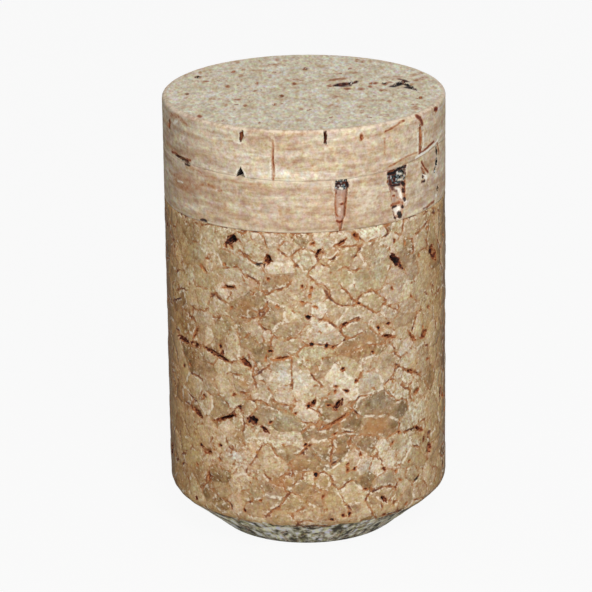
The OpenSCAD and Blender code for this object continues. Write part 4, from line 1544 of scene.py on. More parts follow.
def build_body():
    """The agglomerated body, with its foot and its hidden glued top."""
    skin = Skin(("edge", "ink", "hole", "dark", "stain", "shade", "hue"), ("tone", "warmth", "streaks"))
    rng = np.random.default_rng(9)
    flats, places = body_wall_patch(skin)
    top_ring = rim_places(flats, places, lower_joint_z)
    level, triangles = cap_patch(top_ring[:, :2], CAP_STEP, rng)
    height = lower_joint_z + joint_slope * level[:, 0]
    skin.add(np.column_stack([level, height]), triangles, level[triangles], edge=1, tone=0.55)
    foot_ring = rim_places(flats, places, foot_w)
    foot_patch(skin, foot_ring, rng)
    return skin.build("body_cork", body_material())


def foot_patch(skin, ring, rng):
    """The flat foot, with granules of its own."""
    width = 2 * foot_r + FOOT_OVER

    def ground(flats, sink=0.0):
        height = np.maximum(sink, 0) * smooth_step(foot_r, foot_r - FOOT_EDGE, np.hypot(*flats.T))
        return np.column_stack([flats, height])

    granules = GranuleMap(width, -width / 2, width / 2, GRANULE_STEP, ground)
    tones = planted(granules, [], [], width, -width / 2, width / 2, rng)
    granules.grow(GROWTH_ROUNDS)
    lines = border_lines(granules, False)
    lines = smoothed(lines.kept(np.hypot(*lines.points.T) < foot_r - FOOT_LINES), 2)
    loose = points_off_lines(lines, (-foot_r, -foot_r), (foot_r, foot_r), FOOT_SQUARE, rng, ring[:, :2])
    loose = loose[np.hypot(*loose.T) < foot_r - RING_GAP]
    drawing = Drawing()
    drawing.chain(ring[:, :2], closed=True)

    def everywhere(centres):
        return np.full(len(centres), True)

    granule_patch(skin, granules, tones, lines, [], drawing, loose, everywhere, ground, rng, facing=-1)


# Colours of cork from dark to light, by tone.
CORK_TONES = [(0.1, paint(128, 101, 69)), (0.35, paint(170, 143, 109)), (0.55, paint(194, 173, 141)),
              (0.75, paint(210, 192, 163)), (0.95, paint(236, 224, 201))]
# Painted shade on the body by how far it turns from the eye: darker and browner towards its sides.
GRAZING_SHADE = [(0.35, paint(255, 255, 255)), (0.53, paint(255, 246, 228)), (0.68, paint(248, 231, 204)),
           (0.84, paint(184, 168, 152)), (1.0, paint(150, 136, 125))]
# From a pore's rusty rim to its black middle.
BODY_PORE_TONES = [(0.34, paint(180, 122, 76)), (0.45, paint(132, 66, 34)), (0.54, paint(74, 32, 22)),
                   (0.62, paint(22, 14, 13))]
# From the faintest line between granules to the darkest.
LINE_TONES = [(0.1, paint(186, 140, 96)), (0.35, paint(162, 106, 62)), (0.6, paint(118, 62, 34)),
              (0.8, paint(70, 32, 22)), (1.0, paint(24, 16, 14))]
# From black to white: the painted shade and dirt of the bevel and the foot.
SHADE_AND_DIRT_TONES = [(0.28, paint(24, 22, 16)), (0.4, paint(106, 103, 80)), (0.5, paint(172, 168, 144)),
              (0.6, paint(208, 206, 186)), (0.74, paint(252, 252, 246))]
SHADE_AND_DIRT_TOP = 3.99      # height at which the painted shade and dirt of the foot end


def body_material():
    """Glued cork granules: a tone for each, rusty or pale lines between them, and dark pores."""
    n = Nodes("agglomerated_cork")
    patches = n.noise(3.0, 3.0, shift=3.0)
    mottle = n.noise(0.9, 3.0)
    flecks = n.noise(0.4, 2.0, shift=4.0)
    grain = n.noise(0.2, 1.0, shift=5.0)
    fibres = n.noise((1.6, 0.16, 1), 2.0, where=n.grain())
    tone = n.math("ADD", n.times(n.value("tone"), 0.6), 0.2)
    tone = n.math("ADD", tone, n.times(n.value("shade"), 0.22))
    tone = n.swing(tone, (mottle, 0.8), (patches, 0.15))
    colour = n.ramp(tone, CORK_TONES)
    streaks, warmth = n.value("streaks"), n.value("warmth")
    near = n.smooth(n.value("edge"), 0.5, 0.1, 0.0, 0.8)
    coarse = n.math("ADD", n.times(streaks, 1.5), n.math("ADD", near, 0.75))
    colour = n.shaded(colour, CREAM, (grain, 1.1), (n.noise(0.3, 1.0, shift=33.0), 0.7),
                      (flecks, coarse), (fibres, n.times(streaks, 1.2)))
    colour = n.shaded(colour, YELLOW, (n.noise(0.45, 3.0, shift=6.0), 0.6), (warmth, 0.14), (patches, 0.25))
    colour = n.shaded(colour, ORANGE, (n.math("ADD", n.value("hue"), 0.5), 0.16), (warmth, -0.06))
    colour = n.shaded(colour, RED, (n.noise(0.3, 2.0, shift=8.0), 0.3), (patches, 0.15))
    bright = n.times(n.smooth(n.noise(0.35, 2.0, shift=12.0), 0.6, 0.7), coarse)
    colour = n.mix(n.math("MULTIPLY", bright, 0.35, clamp=True), colour, paint(244, 232, 210))
    colour = body_stains(n, colour, mottle, flecks)
    # Painted shade: the body darkens towards its sides as it turns from the eye.
    colour = n.vector("MULTIPLY", colour, n.ramp(n.grazing(), GRAZING_SHADE))
    # Painted shade and dirt over the bevel and the foot.
    colour = foot_shade_and_dirt(n, colour, mottle)
    colour = body_lines(n, colour, flecks)
    colour = body_pores(n, colour, flecks)
    return n.finish(colour, n.swing(0.5, (grain, 1.0), (flecks, 1.0), (fibres, 0.4)), 0.5, 0.05)


def body_pores(n, colour, flecks):
    """Rusty rims, red-brown walls and black middles, all torn."""
    hole = n.swing(n.value("hole"), (n.noise(0.3, 3.0, shift=17.0), 0.9), (flecks, 0.4))
    dark = n.math("ADD", n.times(n.value("dark"), 0.7), 0.3)
    return n.mix(n.smooth(hole, 0.3, 0.5), colour, n.ramp(n.times(hole, dark), BODY_PORE_TONES))


def body_stains(n, colour, mottle, flecks):
    """Rusty stains near some borders and pores."""
    near = n.times(n.smooth(n.value("edge"), 0.6, 0.1), n.smooth(mottle, 0.46, 0.62, 0.0, 0.7))
    stain = n.math("MAXIMUM", n.value("stain"), near)
    stain = n.times(stain, n.smooth(flecks, 0.35, 0.6, 0.3, 1.0), 0.75)
    return n.mix(stain, colour, paint(172, 118, 70))


def foot_shade_and_dirt(n, colour, mottle):
    """Painted shade with olive and grey dirt on the bevel and the foot, from black to white flecks, darker
    towards the floor.
    """
    height, wall = n.height(), n.round_wall()
    ragged = n.swing(height, (mottle, 1.2), (n.noise(4.0, 1.0, shift=27.0), 0.6))
    coarse = n.noise((1, 1, 0.9), 2.0, where=wall, shift=7.0)
    fine = n.noise((0.35, 0.35, 0.45), 2.0, where=wall, shift=21.0)
    under = n.noise(0.7, 3.0, shift=28.0)
    coarse = n.blend(n.smooth(height, 0.4, 0.8), under, coarse)
    # Painted shade: darker towards the floor, and in the darker rows of SHADES on the bevel.
    tone = n.swing(n.smooth(height, 0.0, 1.2, 0.41, 0.5), (coarse, 1.9), (fine, 0.45),
                   (n.noise(2.5, 1.0, shift=29.0), 0.3), (n.math("ADD", n.value("shade"), 0.5), 0.35))
    shade_and_dirt = n.ramp(tone, SHADE_AND_DIRT_TONES)
    shade_and_dirt = n.shaded(shade_and_dirt, YELLOW, (n.noise((0.6, 0.6, 1), 2.0, where=wall, shift=30.0), 1.2))
    return n.mix(n.smooth(ragged, SHADE_AND_DIRT_TOP + 0.13, SHADE_AND_DIRT_TOP - 0.13, 0.0, 0.95), colour, shade_and_dirt)


def body_lines(n, colour, flecks):
    """The borders of the granules: pale glue, or rusty lines with a dark core and painted highlights beside
    them.
    """
    ink = n.value("ink")
    away = n.swing(n.value("edge"), (n.noise(0.3, 2.0, shift=11.0), 0.35))
    dark = n.math("MAXIMUM", ink, 0.0)
    strong = n.swing(dark, (n.noise(0.7, 2.0, shift=9.0), 1.3), (n.noise(0.35, 1.0, shift=35.0), 0.9))
    strong = n.math("MULTIPLY", strong, n.smooth(dark, 0.02, 0.12), clamp=True)
    pale = n.times(n.smooth(away, 0.2, 0.08), n.smooth(ink, -0.1, -0.6, 0.0, 0.75),
                   n.smooth(flecks, 0.4, 0.55, 0.15, 1.0))
    # Painted highlight: a pale rim beside the strongest lines, where a granule's edge catches the light.
    highlight_rim = n.times(n.smooth(away, 0.5, 0.3), n.smooth(flecks, 0.46, 0.52),
                   n.smooth(strong, 0.1, 0.5, 0.0, 0.65))
    colour = n.mix(n.math("MAXIMUM", pale, highlight_rim), colour, paint(242, 230, 208))
    width = n.math("ADD", n.times(strong, 0.12), 0.075)
    line = n.times(n.smooth(n.math("DIVIDE", away, width), 1.5, 0.6), n.smooth(strong, 0.0, 0.3, 0.0, 0.95),
                   n.smooth(n.height(), 3.4, 4.0, 0.4, 1.0))
    return n.mix(line, colour, n.ramp(strong, LINE_TONES))


# ---------------------------------------------------------------- the natural cork discs

# Angle, height, width, length, taper, slant, depth, darkness and squareness of each pore.
INNER_PORES = [
    (56, 41.4, 0.3, 1.8, 0, -35, FINE, 0.4, 2), (55.4, 41.15, 0.4, 0.5, 0, 10, FINE, 0.8, 2),
    (67.2, 42.8, 0.6, 0.8, 0, 4, FINE, 0.9, 2), (67.2, 41.6, 0.6, 0.9, 0, 8, FINE, 0.9, 2),
    (65.2, 41.0, 0.4, 0.6, 0, 0, FINE, 0.7, 2), (68.6, 38.95, 0.6, 0.6, 0, -10, FINE, 0.9, 2),
]
OUTER_PORES = [
    (-25.4, 47.6, 0.45, 1.1, 0.2, 8, PIT, 0.56, 2), (-26, 43.75, 0.75, 1.1, -0.75, 0, PIT, 0.85, 2.5),
    (-12.4, 45.3, 0.2, 3.8, -0.2, 0, 0.3, 0.1, 2), (8.3, 47.7, 0.35, 1.3, 0, 0, PIT, 0.64, 3),
    (23, 47.4, 0.4, 0.5, 0, 0, 0.3, 0.35, 2), (53.5, 45.6, 0.4, 3.4, 0.2, 0, FINE, 0.52, 2.5),
    (66.8, 48.0, 0.5, 0.7, 0, 60, FINE, 0.75, 2), (-70, 46.5, 0.7, 1.0, 0, 0, PIT, 0.7, 2),
    (-59, 43.65, 0.35, 3.0, 0, -86, FINE, 0.7, 2),
]
# The two pockets, from the top down: height, left side and right side (w, u, u).
NARROW_POCKET = [
    (43.28, 3.2, 4.65), (42.3, 3.15, 4.6), (41, 3.12, 4.38), (40, 3.1, 4.28), (39, 3.15, 4.2),
    (38.5, 3.3, 4.0), (38, 3.45, 3.95), (37.5, 3.58, 3.86),
]
WIDE_POCKET = [
    (43.38, 9.15, 11.95), (42.6, 9.15, 11.85), (42, 9.2, 11.8), (41.4, 9.45, 11.75), (40.9, 9.65, 11.75),
    (40, 9.7, 11.75), (39.4, 9.85, 11.6), (38.9, 9.85, 11.4), (38.2, 10.0, 11.2), (37.62, 10.12, 11.05),
]
# Marks inside the two pockets are placed where they show from the front.
# Ovals of mould, in the pockets and the pores right of them: strength, u, w, half the width,
# half the height.
MOULD = [(1, 3.9, 42.85, 1.2, 0.95), (1, 10.6, 42.5, 2.2, 1.7), (0.8, 17.6, 41.2, 0.7, 2.2)]
# Broad stains of the discs, the same way; those on the left side also darken it as painted shade.
DISC_STAINS_AND_SHADE = [
    (0.3, -15, 41.2, 6, 1.6), (0.2, -12, 45.8, 4.5, 2.6), (0.25, -16, 39.7, 3.5, 2.2),
    (0.2, 18, 46, 2.2, 2.2), (0.2, 19, 39.2, 2, 2), (0.2, -8, 38.8, 5, 0.7), (0.2, 3, 40.4, 6, 1.2),
    (0.2, -4, 42.2, 4, 0.8),
]
# Broad patches of painted light on the discs, the same way.
DISC_PAINTED_LIGHT = [(0.25, 13.3, 45.9, 4.5, 2.6), (0.25, 13.5, 39.8, 2, 2), (0.25, 6.8, 40.4, 2.5, 3)]
# Rusty, pale and black strokes on the discs: strength, half the width, then corners (u, w).
RUST = [
    (0.5, 0.15, (-3.3, 47.4), (-3.25, 46.6), (-3.35, 45.8), (-3.3, 45), (-3.2, 44.1), (-3.25, 43.3)),
    (0.75, 0.13, (-3.33, 45.6), (-3.28, 45), (-3.2, 44.7)), (0.9, 0.3, (-18.4, 46.9), (-18.7, 46.4)),
    (0.5, 0.3, (-19.5, 46.3), (-19, 46.2)),
    (0.8, 0.18, (-18, 43.7), (-16.9, 43.9), (-15.7, 43.7), (-14.6, 43.75), (-13.9, 43.8)),
    (0.4, 0.3, (-20, 44.3), (-18.9, 44.3), (-17.8, 44)),
    (0.5, 0.28, (-19, 41.4), (-17.8, 41.2), (-16.6, 41.5), (-15, 41.4), (-14, 41.2)),
    (0.5, 0.2, (-12.6, 41.2), (-11.9, 41.6)), (0.5, 0.28, (-11, 41.7), (-10.2, 41.6)),
    (0.5, 0.2, (-9.7, 41.3), (-9.3, 41.4)), (0.4, 0.2, (-9, 42.8), (-7, 42.65), (-5.3, 42.7)),
    (0.4, 0.3, (-14, 43), (-12, 42.7), (-10, 42.6)), (0.4, 0.25, (-8.9, 40.1), (-8.9, 39.2)),
    (0.4, 0.2, (-2.7, 40.3), (-2.5, 39)), (0.5, 0.3, (-18, 47.7), (-16, 48), (-14.5, 47.5)),
    (0.9, 0.2, (14.1, 46.9), (14.25, 46.1), (14.3, 45.2), (14.15, 44.4), (14.1, 43.8)),
    (1, 0.24, (13.7, 48.3), (14.3, 47.8), (14.6, 47.2)),
    (0.9, 0.16, (14.2, 43.7), (15.2, 43.85), (16.2, 43.98), (17.2, 44.05)),
    (0.6, 0.14, (9.4, 43.75), (10.6, 43.95), (12, 44.15), (13.6, 44.05)),
    (0.7, 0.15, (9, 47.6), (10, 47.8), (11, 48.2), (11.6, 48.3)), (0.5, 0.15, (8.9, 46.8), (8.9, 45.2)),
    (0.7, 0.25, (6.1, 47.6), (6.1, 47.2)), (0.9, 0.14, (14.4, 42.75), (15, 41.9), (15.8, 41.2)),
    (1, 0.25, (17.4, 48.1), (18.1, 47.95)), (0.7, 0.2, (15.5, 37.7), (17.2, 37.85)),
    (0.6, 0.25, (18.2, 43.5), (18.6, 42.5)),
    # in the narrow pocket
    (0.95, 0.17, (3.88, 40.5), (3.98, 40.5)), (0.6, 0.11, (3.24, 41.8), (3.22, 40.6), (3.22, 39.5)),
    (0.65, 0.13, (4.4, 41.2), (4.28, 40), (4.18, 39)), (0.7, 0.13, (3.3, 39.3), (3.45, 39.1)),
    (0.85, 0.16, (3.35, 38.55), (3.6, 38.38), (3.9, 38.5)), (0.5, 0.14, (3.65, 38.2), (3.68, 37.6)),
    (0.8, 0.13, (3.68, 37.6), (3.7, 37.4)), (0.35, 0.15, (3.9, 41.6), (4, 41.2)),
    # in the wide pocket
    (0.8, 0.13, (9.25, 42.2), (9.25, 42)), (0.7, 0.12, (9.3, 43.1), (10.3, 43.2)),
    (0.6, 0.12, (11.4, 43.35), (12, 43.45)), (0.85, 0.15, (10.0, 40.25), (10.15, 40.25)),
    (0.6, 0.1, (10.5, 40), (10.65, 39.85)), (0.65, 0.22, (9.8, 39.3), (10.2, 39.3), (10.8, 39.35)),
    (0.75, 0.17, (11.62, 41.5), (11.58, 40.3), (11.62, 39.6)), (0.6, 0.13, (11.45, 39.3), (11.3, 39.05)),
    (0.5, 0.1, (9.7, 41), (9.72, 39.8)), (0.5, 0.1, (11.35, 38.5), (11.15, 37.9)),
]
PALE = [
    (0.9, 0.13, (13.4, 43.5), (14.6, 43.5), (16, 43.55), (17.4, 43.7), (18.4, 43.9)),
    (0.7, 0.12, (13.75, 46.4), (13.7, 45.2), (13.7, 44.2)),
    (0.7, 0.12, (14.75, 46.2), (14.8, 45), (14.7, 44.2)),
    (0.6, 0.1, (-3.6, 45.2), (-3.6, 44.4), (-3.55, 43.7)), (0.6, 0.1, (-2.95, 44.8), (-2.95, 43.7)),
    (0.35, 0.12, (-13.6, 43.7), (-12.6, 43.4), (-11.2, 43.7)),
    (0.5, 0.1, (-9.6, 43.6), (-9.2, 43.65), (-8.6, 43.55)), (0.7, 0.2, (-17.3, 47), (-16.4, 47.4)),
    (0.6, 0.12, (-16.6, 40.9), (-15.4, 41)),
    (0.3, 0.12, (-6.2, 37.66), (-4.8, 37.62), (-3.4, 37.68), (-2, 37.62)),
    (0.5, 0.14, (-7.6, 47), (-6.9, 46.8)), (0.5, 0.1, (-6.3, 47.4), (-6.4, 48)),
    (0.7, 0.1, (-6.3, 43.4), (-6.6, 44.1)), (0.7, 0.1, (-7.55, 43.4), (-7.25, 44.1)),
    (0.35, 0.15, (1.6, 43.65), (2.4, 43.7)), (0.35, 0.16, (5.6, 43.7), (6.8, 43.65)),
    (0.4, 0.12, (7.9, 43.6), (8.4, 43.6)), (0.35, 0.16, (2.9, 43.3), (2.95, 42.2)),
    (0.35, 0.13, (4.95, 43.1), (4.95, 42.2)), (0.9, 0.2, (15.1, 40.95), (15.5, 40.7)),
    (0.3, 0.15, (2.2, 46.8), (2.2, 45)), (0.35, 0.2, (3.63, 39.9), (3.65, 39.3)),
    (0.3, 0.3, (3.7, 41.2), (3.75, 40.9)), (0.6, 0.16, (3.68, 42.35), (3.9, 42.3)),
    (0.75, 0.2, (10.4, 41.05), (10.8, 40.75), (11, 40.2)),
    (0.8, 0.17, (11.05, 40), (11.35, 39.65), (11.7, 39.3)),
    (1, 0.34, (10.4, 38.7), (10.75, 38.6), (10.6, 38.35)), (0.5, 0.14, (10.6, 42.6), (11.2, 42.35)),
    (0.5, 0.13, (10.7, 41.85), (11.4, 41.7)), (0.8, 0.2, (17.7, 40.4), (17.9, 40.3)),
    (0.7, 0.2, (17.7, 38.3), (17.9, 38.2)), (0.6, 0.12, (10.6, 37.65), (10.75, 37.6)),
    (0.6, 0.12, (11.85, 39.3), (11.8, 38.9)),
]
BLACK = [
    (1, 0.2, (-14.8, 43.25), (-14.2, 43.25)), (0.5, 0.14, (-17, 43.82), (-15.3, 43.72)),
    (0.5, 0.2, (-18.4, 46.8), (-18.8, 46.5)), (0.8, 0.15, (14.5, 40.6), (15, 40.55)),
    (0.8, 0.18, (14.7, 41.2), (14.95, 41.15)), (0.6, 0.13, (16.3, 43.97), (16.8, 44)),
    (0.9, 0.16, (-12.3, 37.55), (-11.9, 37.65), (-11.5, 37.6)), (0.6, 0.12, (14.8, 37.65), (15.7, 37.6)),
    # in the narrow pocket
    (0.9, 0.14, (3.3, 42.9), (3.6, 42.88), (3.75, 42.75)), (0.8, 0.13, (3.4, 42.7), (3.5, 42.5)),
    (0.9, 0.16, (4.45, 42.9), (4.55, 42.6), (4.5, 42.4)), (0.55, 0.1, (3.28, 42.1), (3.32, 41.75)),
    (0.5, 0.11, (3.9, 42.95), (4.3, 42.95)),
    # in the wide pocket
    (1, 0.2, (9.45, 42.88), (9.8, 42.85), (10.15, 42.8)),
    (0.9, 0.15, (10.2, 43), (11, 43.05), (11.75, 43.15)), (0.6, 0.11, (11.7, 42.8), (11.72, 42.2)),
    (0.6, 0.2, (9.5, 42.5), (9.55, 42), (9.7, 41.5)), (0.8, 0.15, (10.12, 42.1), (10.22, 41.95)),
    (0.8, 0.14, (9.7, 41.5), (10.3, 41.35), (10.9, 41.25)), (1, 0.24, (11.28, 41.4), (11.45, 41.2)),
    (0.9, 0.22, (11.35, 40.7), (11.47, 40.4)), (0.9, 0.19, (11.55, 39.65), (11.62, 39.5)),
    (0.5, 0.18, (9.72, 41.4), (10.05, 40.95), (10.45, 40.7)), (0.5, 0.1, (11.6, 41.2), (11.62, 40.2)),
    (0.5, 0.12, (9.95, 39.2), (10.2, 39.15)), (0.85, 0.14, (9.9, 39), (10.4, 39.02)),
    (1, 0.18, (11.22, 38.85), (11.3, 38.75)), (1, 0.3, (10.82, 38.15), (10.88, 37.9)),
    (0.75, 0.14, (10.15, 37.85), (10.25, 37.78)), (0.5, 0.09, (10, 38.5), (10.05, 38.1)),
]
# Soft brown marks on the top face: strength, x, y, half the width, half the length.
TOP_SPOTS = [
    (0.5, -11.5, 6.2, 0.6, 1.1), (0.4, -7.7, 8.2, 0.6, 1), (0.4, -6.6, 8.9, 0.4, 0.9),
    (0.3, -5.2, 8.7, 0.9, 0.8), (0.45, -7.3, 12.3, 0.5, 1), (0.3, -7.9, 12.4, 0.4, 0.8),
    (0.4, -3.1, 10.9, 0.8, 1), (0.35, -2.9, 13, 0.5, 1.1), (0.3, -2, 12.6, 0.5, 1),
    (0.5, -8.2, 2.3, 0.4, 1), (0.4, -5, 3.4, 0.4, 1), (0.35, -5.2, 0.3, 0.4, 1), (0.5, -12.6, -0.4, 0.4, 1),
    (0.35, -12.6, -2, 0.4, 0.9), (0.4, -9.7, -2.4, 0.8, 0.8), (0.4, -7.1, -2.9, 0.7, 0.8),
    (0.3, -8.1, -3.4, 0.5, 0.8), (0.35, -8.3, -5, 0.4, 1), (0.5, -6.2, -5.3, 0.4, 1),
    (0.5, -2.4, -1.8, 0.5, 1.1), (0.5, -3.1, -4.9, 0.4, 1), (0.3, -2.5, -4.7, 0.5, 0.8),
    (0.45, -0.3, -6.9, 0.4, 1), (0.5, -1, 3, 0.4, 1), (0.3, -2.1, 1.7, 0.4, 1), (0.3, -2.5, 2.4, 0.4, 0.8),
    (0.3, -1.1, 1.4, 0.4, 1), (0.4, -3.7, 6.1, 0.4, 1), (0.35, -3.2, 7.7, 0.4, 1),
    (0.35, -6.8, 6.5, 0.5, 1), (0.4, -10.7, 4.4, 0.7, 0.9), (0.4, -11.3, 8, 0.4, 1),
    (0.5, -11, -9.3, 0.5, 1.3), (0.5, 0.2, 9.1, 0.6, 1.2), (0.3, 2, 10.2, 0.9, 1.1),
    (0.35, 5.4, 7.3, 0.9, 0.9), (0.3, 3.7, 6.9, 0.7, 0.8), (0.45, 6, 12.2, 0.45, 1.2),
    (0.35, 6.6, 11.7, 0.4, 1), (0.35, 7.4, 12, 0.5, 1), (0.45, 12.9, 4.8, 0.5, 1.1),
    (0.4, 12.3, 3.9, 0.7, 0.9), (0.5, 12.6, -3, 0.4, 1), (0.4, 11.8, -7, 0.8, 1.1),
    (0.35, 9.1, -4.3, 0.5, 1), (0.3, 10.6, -3, 0.5, 1.2), (0.35, 6.1, -6.2, 0.7, 0.8),
    (0.35, 6.1, -8.3, 0.5, 1), (0.3, 8.5, -9.6, 1, 1.1), (0.5, 6.2, 0.6, 0.6, 0.9),
    (0.55, 7.6, 2.9, 0.8, 0.8), (0.45, 7.2, 1.6, 0.4, 1), (0.6, 8.8, 2.6, 0.5, 1),
    (0.4, 8.3, 0.1, 0.4, 0.9), (0.4, 8.8, 0.1, 0.4, 0.9), (0.6, 4.7, 3.1, 0.8, 0.8),
    (0.5, 4.7, 0.8, 0.7, 0.9), (0.5, 2.8, 2, 0.5, 0.9), (0.5, 11.7, 2.2, 0.35, 0.9), (0.3, 3, -6, 1, 1.8),
    (0.45, 9.4, 3.2, 0.6, 0.6), (0.3, 3.4, -2, 1.2, 1.4), (0.25, -0.5, -11, 1.4, 1.2),
    (0.3, 10, 4.6, 1.2, 1),
]
# Brown and black strokes on the top face: strength, half the width, then corners (x, y).
TOP_STREAKS = [
    (0.4, 0.6, (-1.6, 4.6), (-0.3, 4.8)), (0.3, 0.6, (-0.3, 3), (1.2, 4), (2.9, 4.2)),
    (0.35, 0.5, (6.2, -3.8), (8.3, -3.9)), (0.6, 0.45, (3, 4.2), (3.6, 4.6), (4.4, 5)),
    (0.4, 0.5, (9, 5.2), (10.4, 5.4)), (0.4, 0.5, (12, 6), (13, 6.8)),
    (0.35, 0.6, (-4.4, 10.4), (-2.8, 11.2)), (0.4, 0.5, (-5.6, 8.8), (-4.4, 8.4)),
    (0.4, 0.5, (12.2, 3.8), (13.2, 5)),
]
TOP_BLACK = [
    (1, 0.6, (3.9, 2.3), (4.6, 2.75)), (0.8, 0.25, (4.9, 2.4), (5.3, 2.9), (5.8, 3.8)),
    (0.7, 0.25, (4.2, 1.7), (5, 1.9)), (1, 0.35, (9.6, 1.5), (10.5, 2.3)),
    (0.9, 0.3, (11.1, 1.1), (11.9, 0.4)), (0.7, 0.25, (10.4, 4.4), (10.9, 4), (11.3, 3.3)),
    (0.6, 0.3, (-11.7, 6.2), (-11.4, 6.2)), (0.45, 0.3, (8.7, 2.6), (8.9, 2.6)),
    (0.5, 0.25, (10.7, 2.6), (11.3, 1.6)),
]
# Share of the wall's radius across and back, width, length, slant and darkness of each hole in the top.
TOP_HOLES = [
    (0.300, 0.180, 1.1, 2.8, 62, 1), (0.680, 0.180, 0.7, 2.8, 27, 1), (0.750, 0.095, 0.6, 3.0, -20, 1),
    (-0.760, 0.405, 0.5, 0.9, 0, 0.7), (-0.505, 0.540, 0.5, 0.8, 10, 0.3),
    (0.015, 0.605, 0.4, 1.0, -5, 0.5), (0.575, 0.190, 0.5, 0.9, 0, 0.65), (0.480, 0.180, 0.4, 0.8, 30, 0.4),
    (-0.155, -0.110, 0.4, 0.9, 0, 0.5), (0.820, -0.195, 0.4, 0.9, 10, 0.5),
    (-0.330, 0.220, 0.3, 0.8, 0, 0.3), (-0.205, -0.320, 0.4, 0.6, 20, 0.4),
    (-0.820, -0.035, 0.3, 0.9, 0, 0.5),
]
POCKET_RISE = 0.33       # how far up the wall a pocket's floor shows, as a share of its depth
DISC_STEP = 0.18         # spacing of the points on the discs
LEVEL_CLEAR = 0.4        # how far they stay from chains of points, as a share of that
POCKET_STEP = 0.6        # spacing of the points in the two pockets, the same way
WALL_CLEAR = (0.04, 0.04)  # how far points stay inside a pore's floor and outside its rim
TOP_CLEAR = (0.01, 0.08)  # the same in the top face
TOP_CORNERS = 32         # of a large hole's outline in the top face
CAP_STEP = 2.0           # spacing of the points on hidden glued faces
JOINT_ROWS = (0.12, 0.3)  # rows of points follow each joint at these distances
DISC_WEAR = 0.03         # how far a disc's edge at a joint stands back
WALL_ROUGH, TOP_ROUGH = 0.02, 0.03       # roughness of a disc's wall and of the top face
TOP_DEPTH = 1.2          # depth of the holes in the top
TOP_SPECK_DEPTH = 0.15
TOP_SPECKS = 42          # how many small random holes the top has
TOP_SPOT_STRENGTH = 1.3  # by which all strengths of TOP_SPOTS are multiplied


def disc_wall_patch(skin, wall, low_w, high_w, joints, pores, levels, rng):
    """A disc's wall, with chains of points right round it at the given levels."""
    drawing = Drawing()
    wall_frame(drawing, low_w, high_w, DISC_STEP)
    turns = np.linspace(-around / 2, around / 2, round(around / DISC_STEP) + 1)
    for w in levels:
        drawing.chain([(u, w) for u in turns])
    loose = scattered((-around / 2, low_w), (around / 2, high_w), DISC_STEP, rng)
    for w in levels:
        loose = loose[np.abs(loose[:, 1] - w) > DISC_STEP * LEVEL_CLEAR]
    for pore in pores:
        if isinstance(pore, Pocket):
            reach = np.array([pore.half_width, pore.half_length]) + PORE_MARGIN
            finer = scattered(pore.centre - reach, pore.centre + reach, DISC_STEP * POCKET_STEP, rng)
            loose = np.concatenate([loose[pore.share(loose) > 1], finer])

    def corner_count(pore):
        return max(24, round(6 * (pore.half_width + pore.half_length) / DISC_STEP))

    drawing.add(draw_pores(drawing, pores, loose, corner_count, WALL_CLEAR))
    flats, triangles, _ = drawing.triangles()
    within = on_wall(flats[triangles].mean(axis=1), low_w, high_w)
    flats, triangles = without_spare(flats, triangles[within])

    edge = np.min([np.abs(flats[:, 1] - w) for w in joints], axis=0)
    deep, dark, hole = pore_values(pores, flats)
    rough = layered_noise(wall.ground(flats), 0.6, 41)
    sink = deep * (1 + 0.1 * rough) + WALL_ROUGH * rough + DISC_WEAR * smooth_step(0.25, 0.0, edge)
    ends_firm = smooth_step(0.0, 0.2, high_w - flats[:, 1]) if high_w > cork_h - 1 else 1
    places = wall.ground(flats, sink * ends_firm)
    marked = marked_places(flats, deep, pores)
    # pale holds the pale marks and broad painted light; stain holds rusty marks, stains and painted shade
    # on the left.
    pale = np.maximum(strokes(marked, PALE), spots(flats, DISC_PAINTED_LIGHT) * (hole < 0.2))
    stain = np.maximum(strokes(marked, RUST), spots(flats, DISC_STAINS_AND_SHADE))
    skin.add(places, triangles, flats[triangles], edge=edge, hole=hole, dark=dark, stain=stain,
             mould=spots(marked, MOULD), pale=pale, black=strokes(marked, BLACK))
    return flats, places


def marked_places(flats, deep, pores):
    """Where the marks are read for each place: inside a pocket, where it shows from the front."""
    marked = flats.copy()
    for pore in pores:
        if isinstance(pore, Pocket):
            inside = pore.share(flats) < 1
            across = (1 - deep[inside] / wall_r) * np.sin(flats[inside, 0] / wall_r)
            marked[inside, 0] = wall_r * np.arcsin(across)
            marked[inside, 1] += POCKET_RISE * deep[inside]
    return marked


def joint_cap(skin, ring, joint_z, facing, rng):
    """The hidden glued face of a disc, inside a ring of its wall's places."""
    level, triangles = cap_patch(ring[:, :2], CAP_STEP, rng)
    height = joint_z + joint_slope * level[:, 0]
    if joint_z == upper_joint_z:
        near_wall = smooth_step(0.6, 0.95, np.hypot(*level.T) / wall_r)
        height += near_wall * joint_sag(wall_r * np.arctan2(level[:, 0], -level[:, 1]))
    triangles = triangles[:, ::facing]
    skin.add(np.column_stack([level, height]), triangles, level[triangles], edge=0)


DISC_VALUES = ("edge", "hole", "dark", "stain", "mould", "pale", "black", "top")


def build_inner_disc():
    """The inner disc, with its two long pockets."""
    skin = Skin(DISC_VALUES)
    rng = np.random.default_rng(12)
    low_w, high_w = lower_joint_z, upper_joint_z
    pores = [Pore(unrolled(angle), *rest) for angle, *rest in INNER_PORES]
    pores += [Pocket(NARROW_POCKET, POCKET, 0.2), Pocket(WIDE_POCKET, POCKET, 0.1)]
    levels = [low_w + rise for rise in JOINT_ROWS] + [high_w - drop for drop in reversed(JOINT_ROWS)]
    flats, places = disc_wall_patch(skin, inner_wall, low_w, high_w, (low_w, high_w), pores, levels, rng)
    joint_cap(skin, rim_places(flats, places, low_w), low_w, -1, rng)
    joint_cap(skin, rim_places(flats, places, high_w), high_w, 1, rng)
    return skin.build("inner_disc_cork", natural_cork("inner_natural_cork", 0.46))


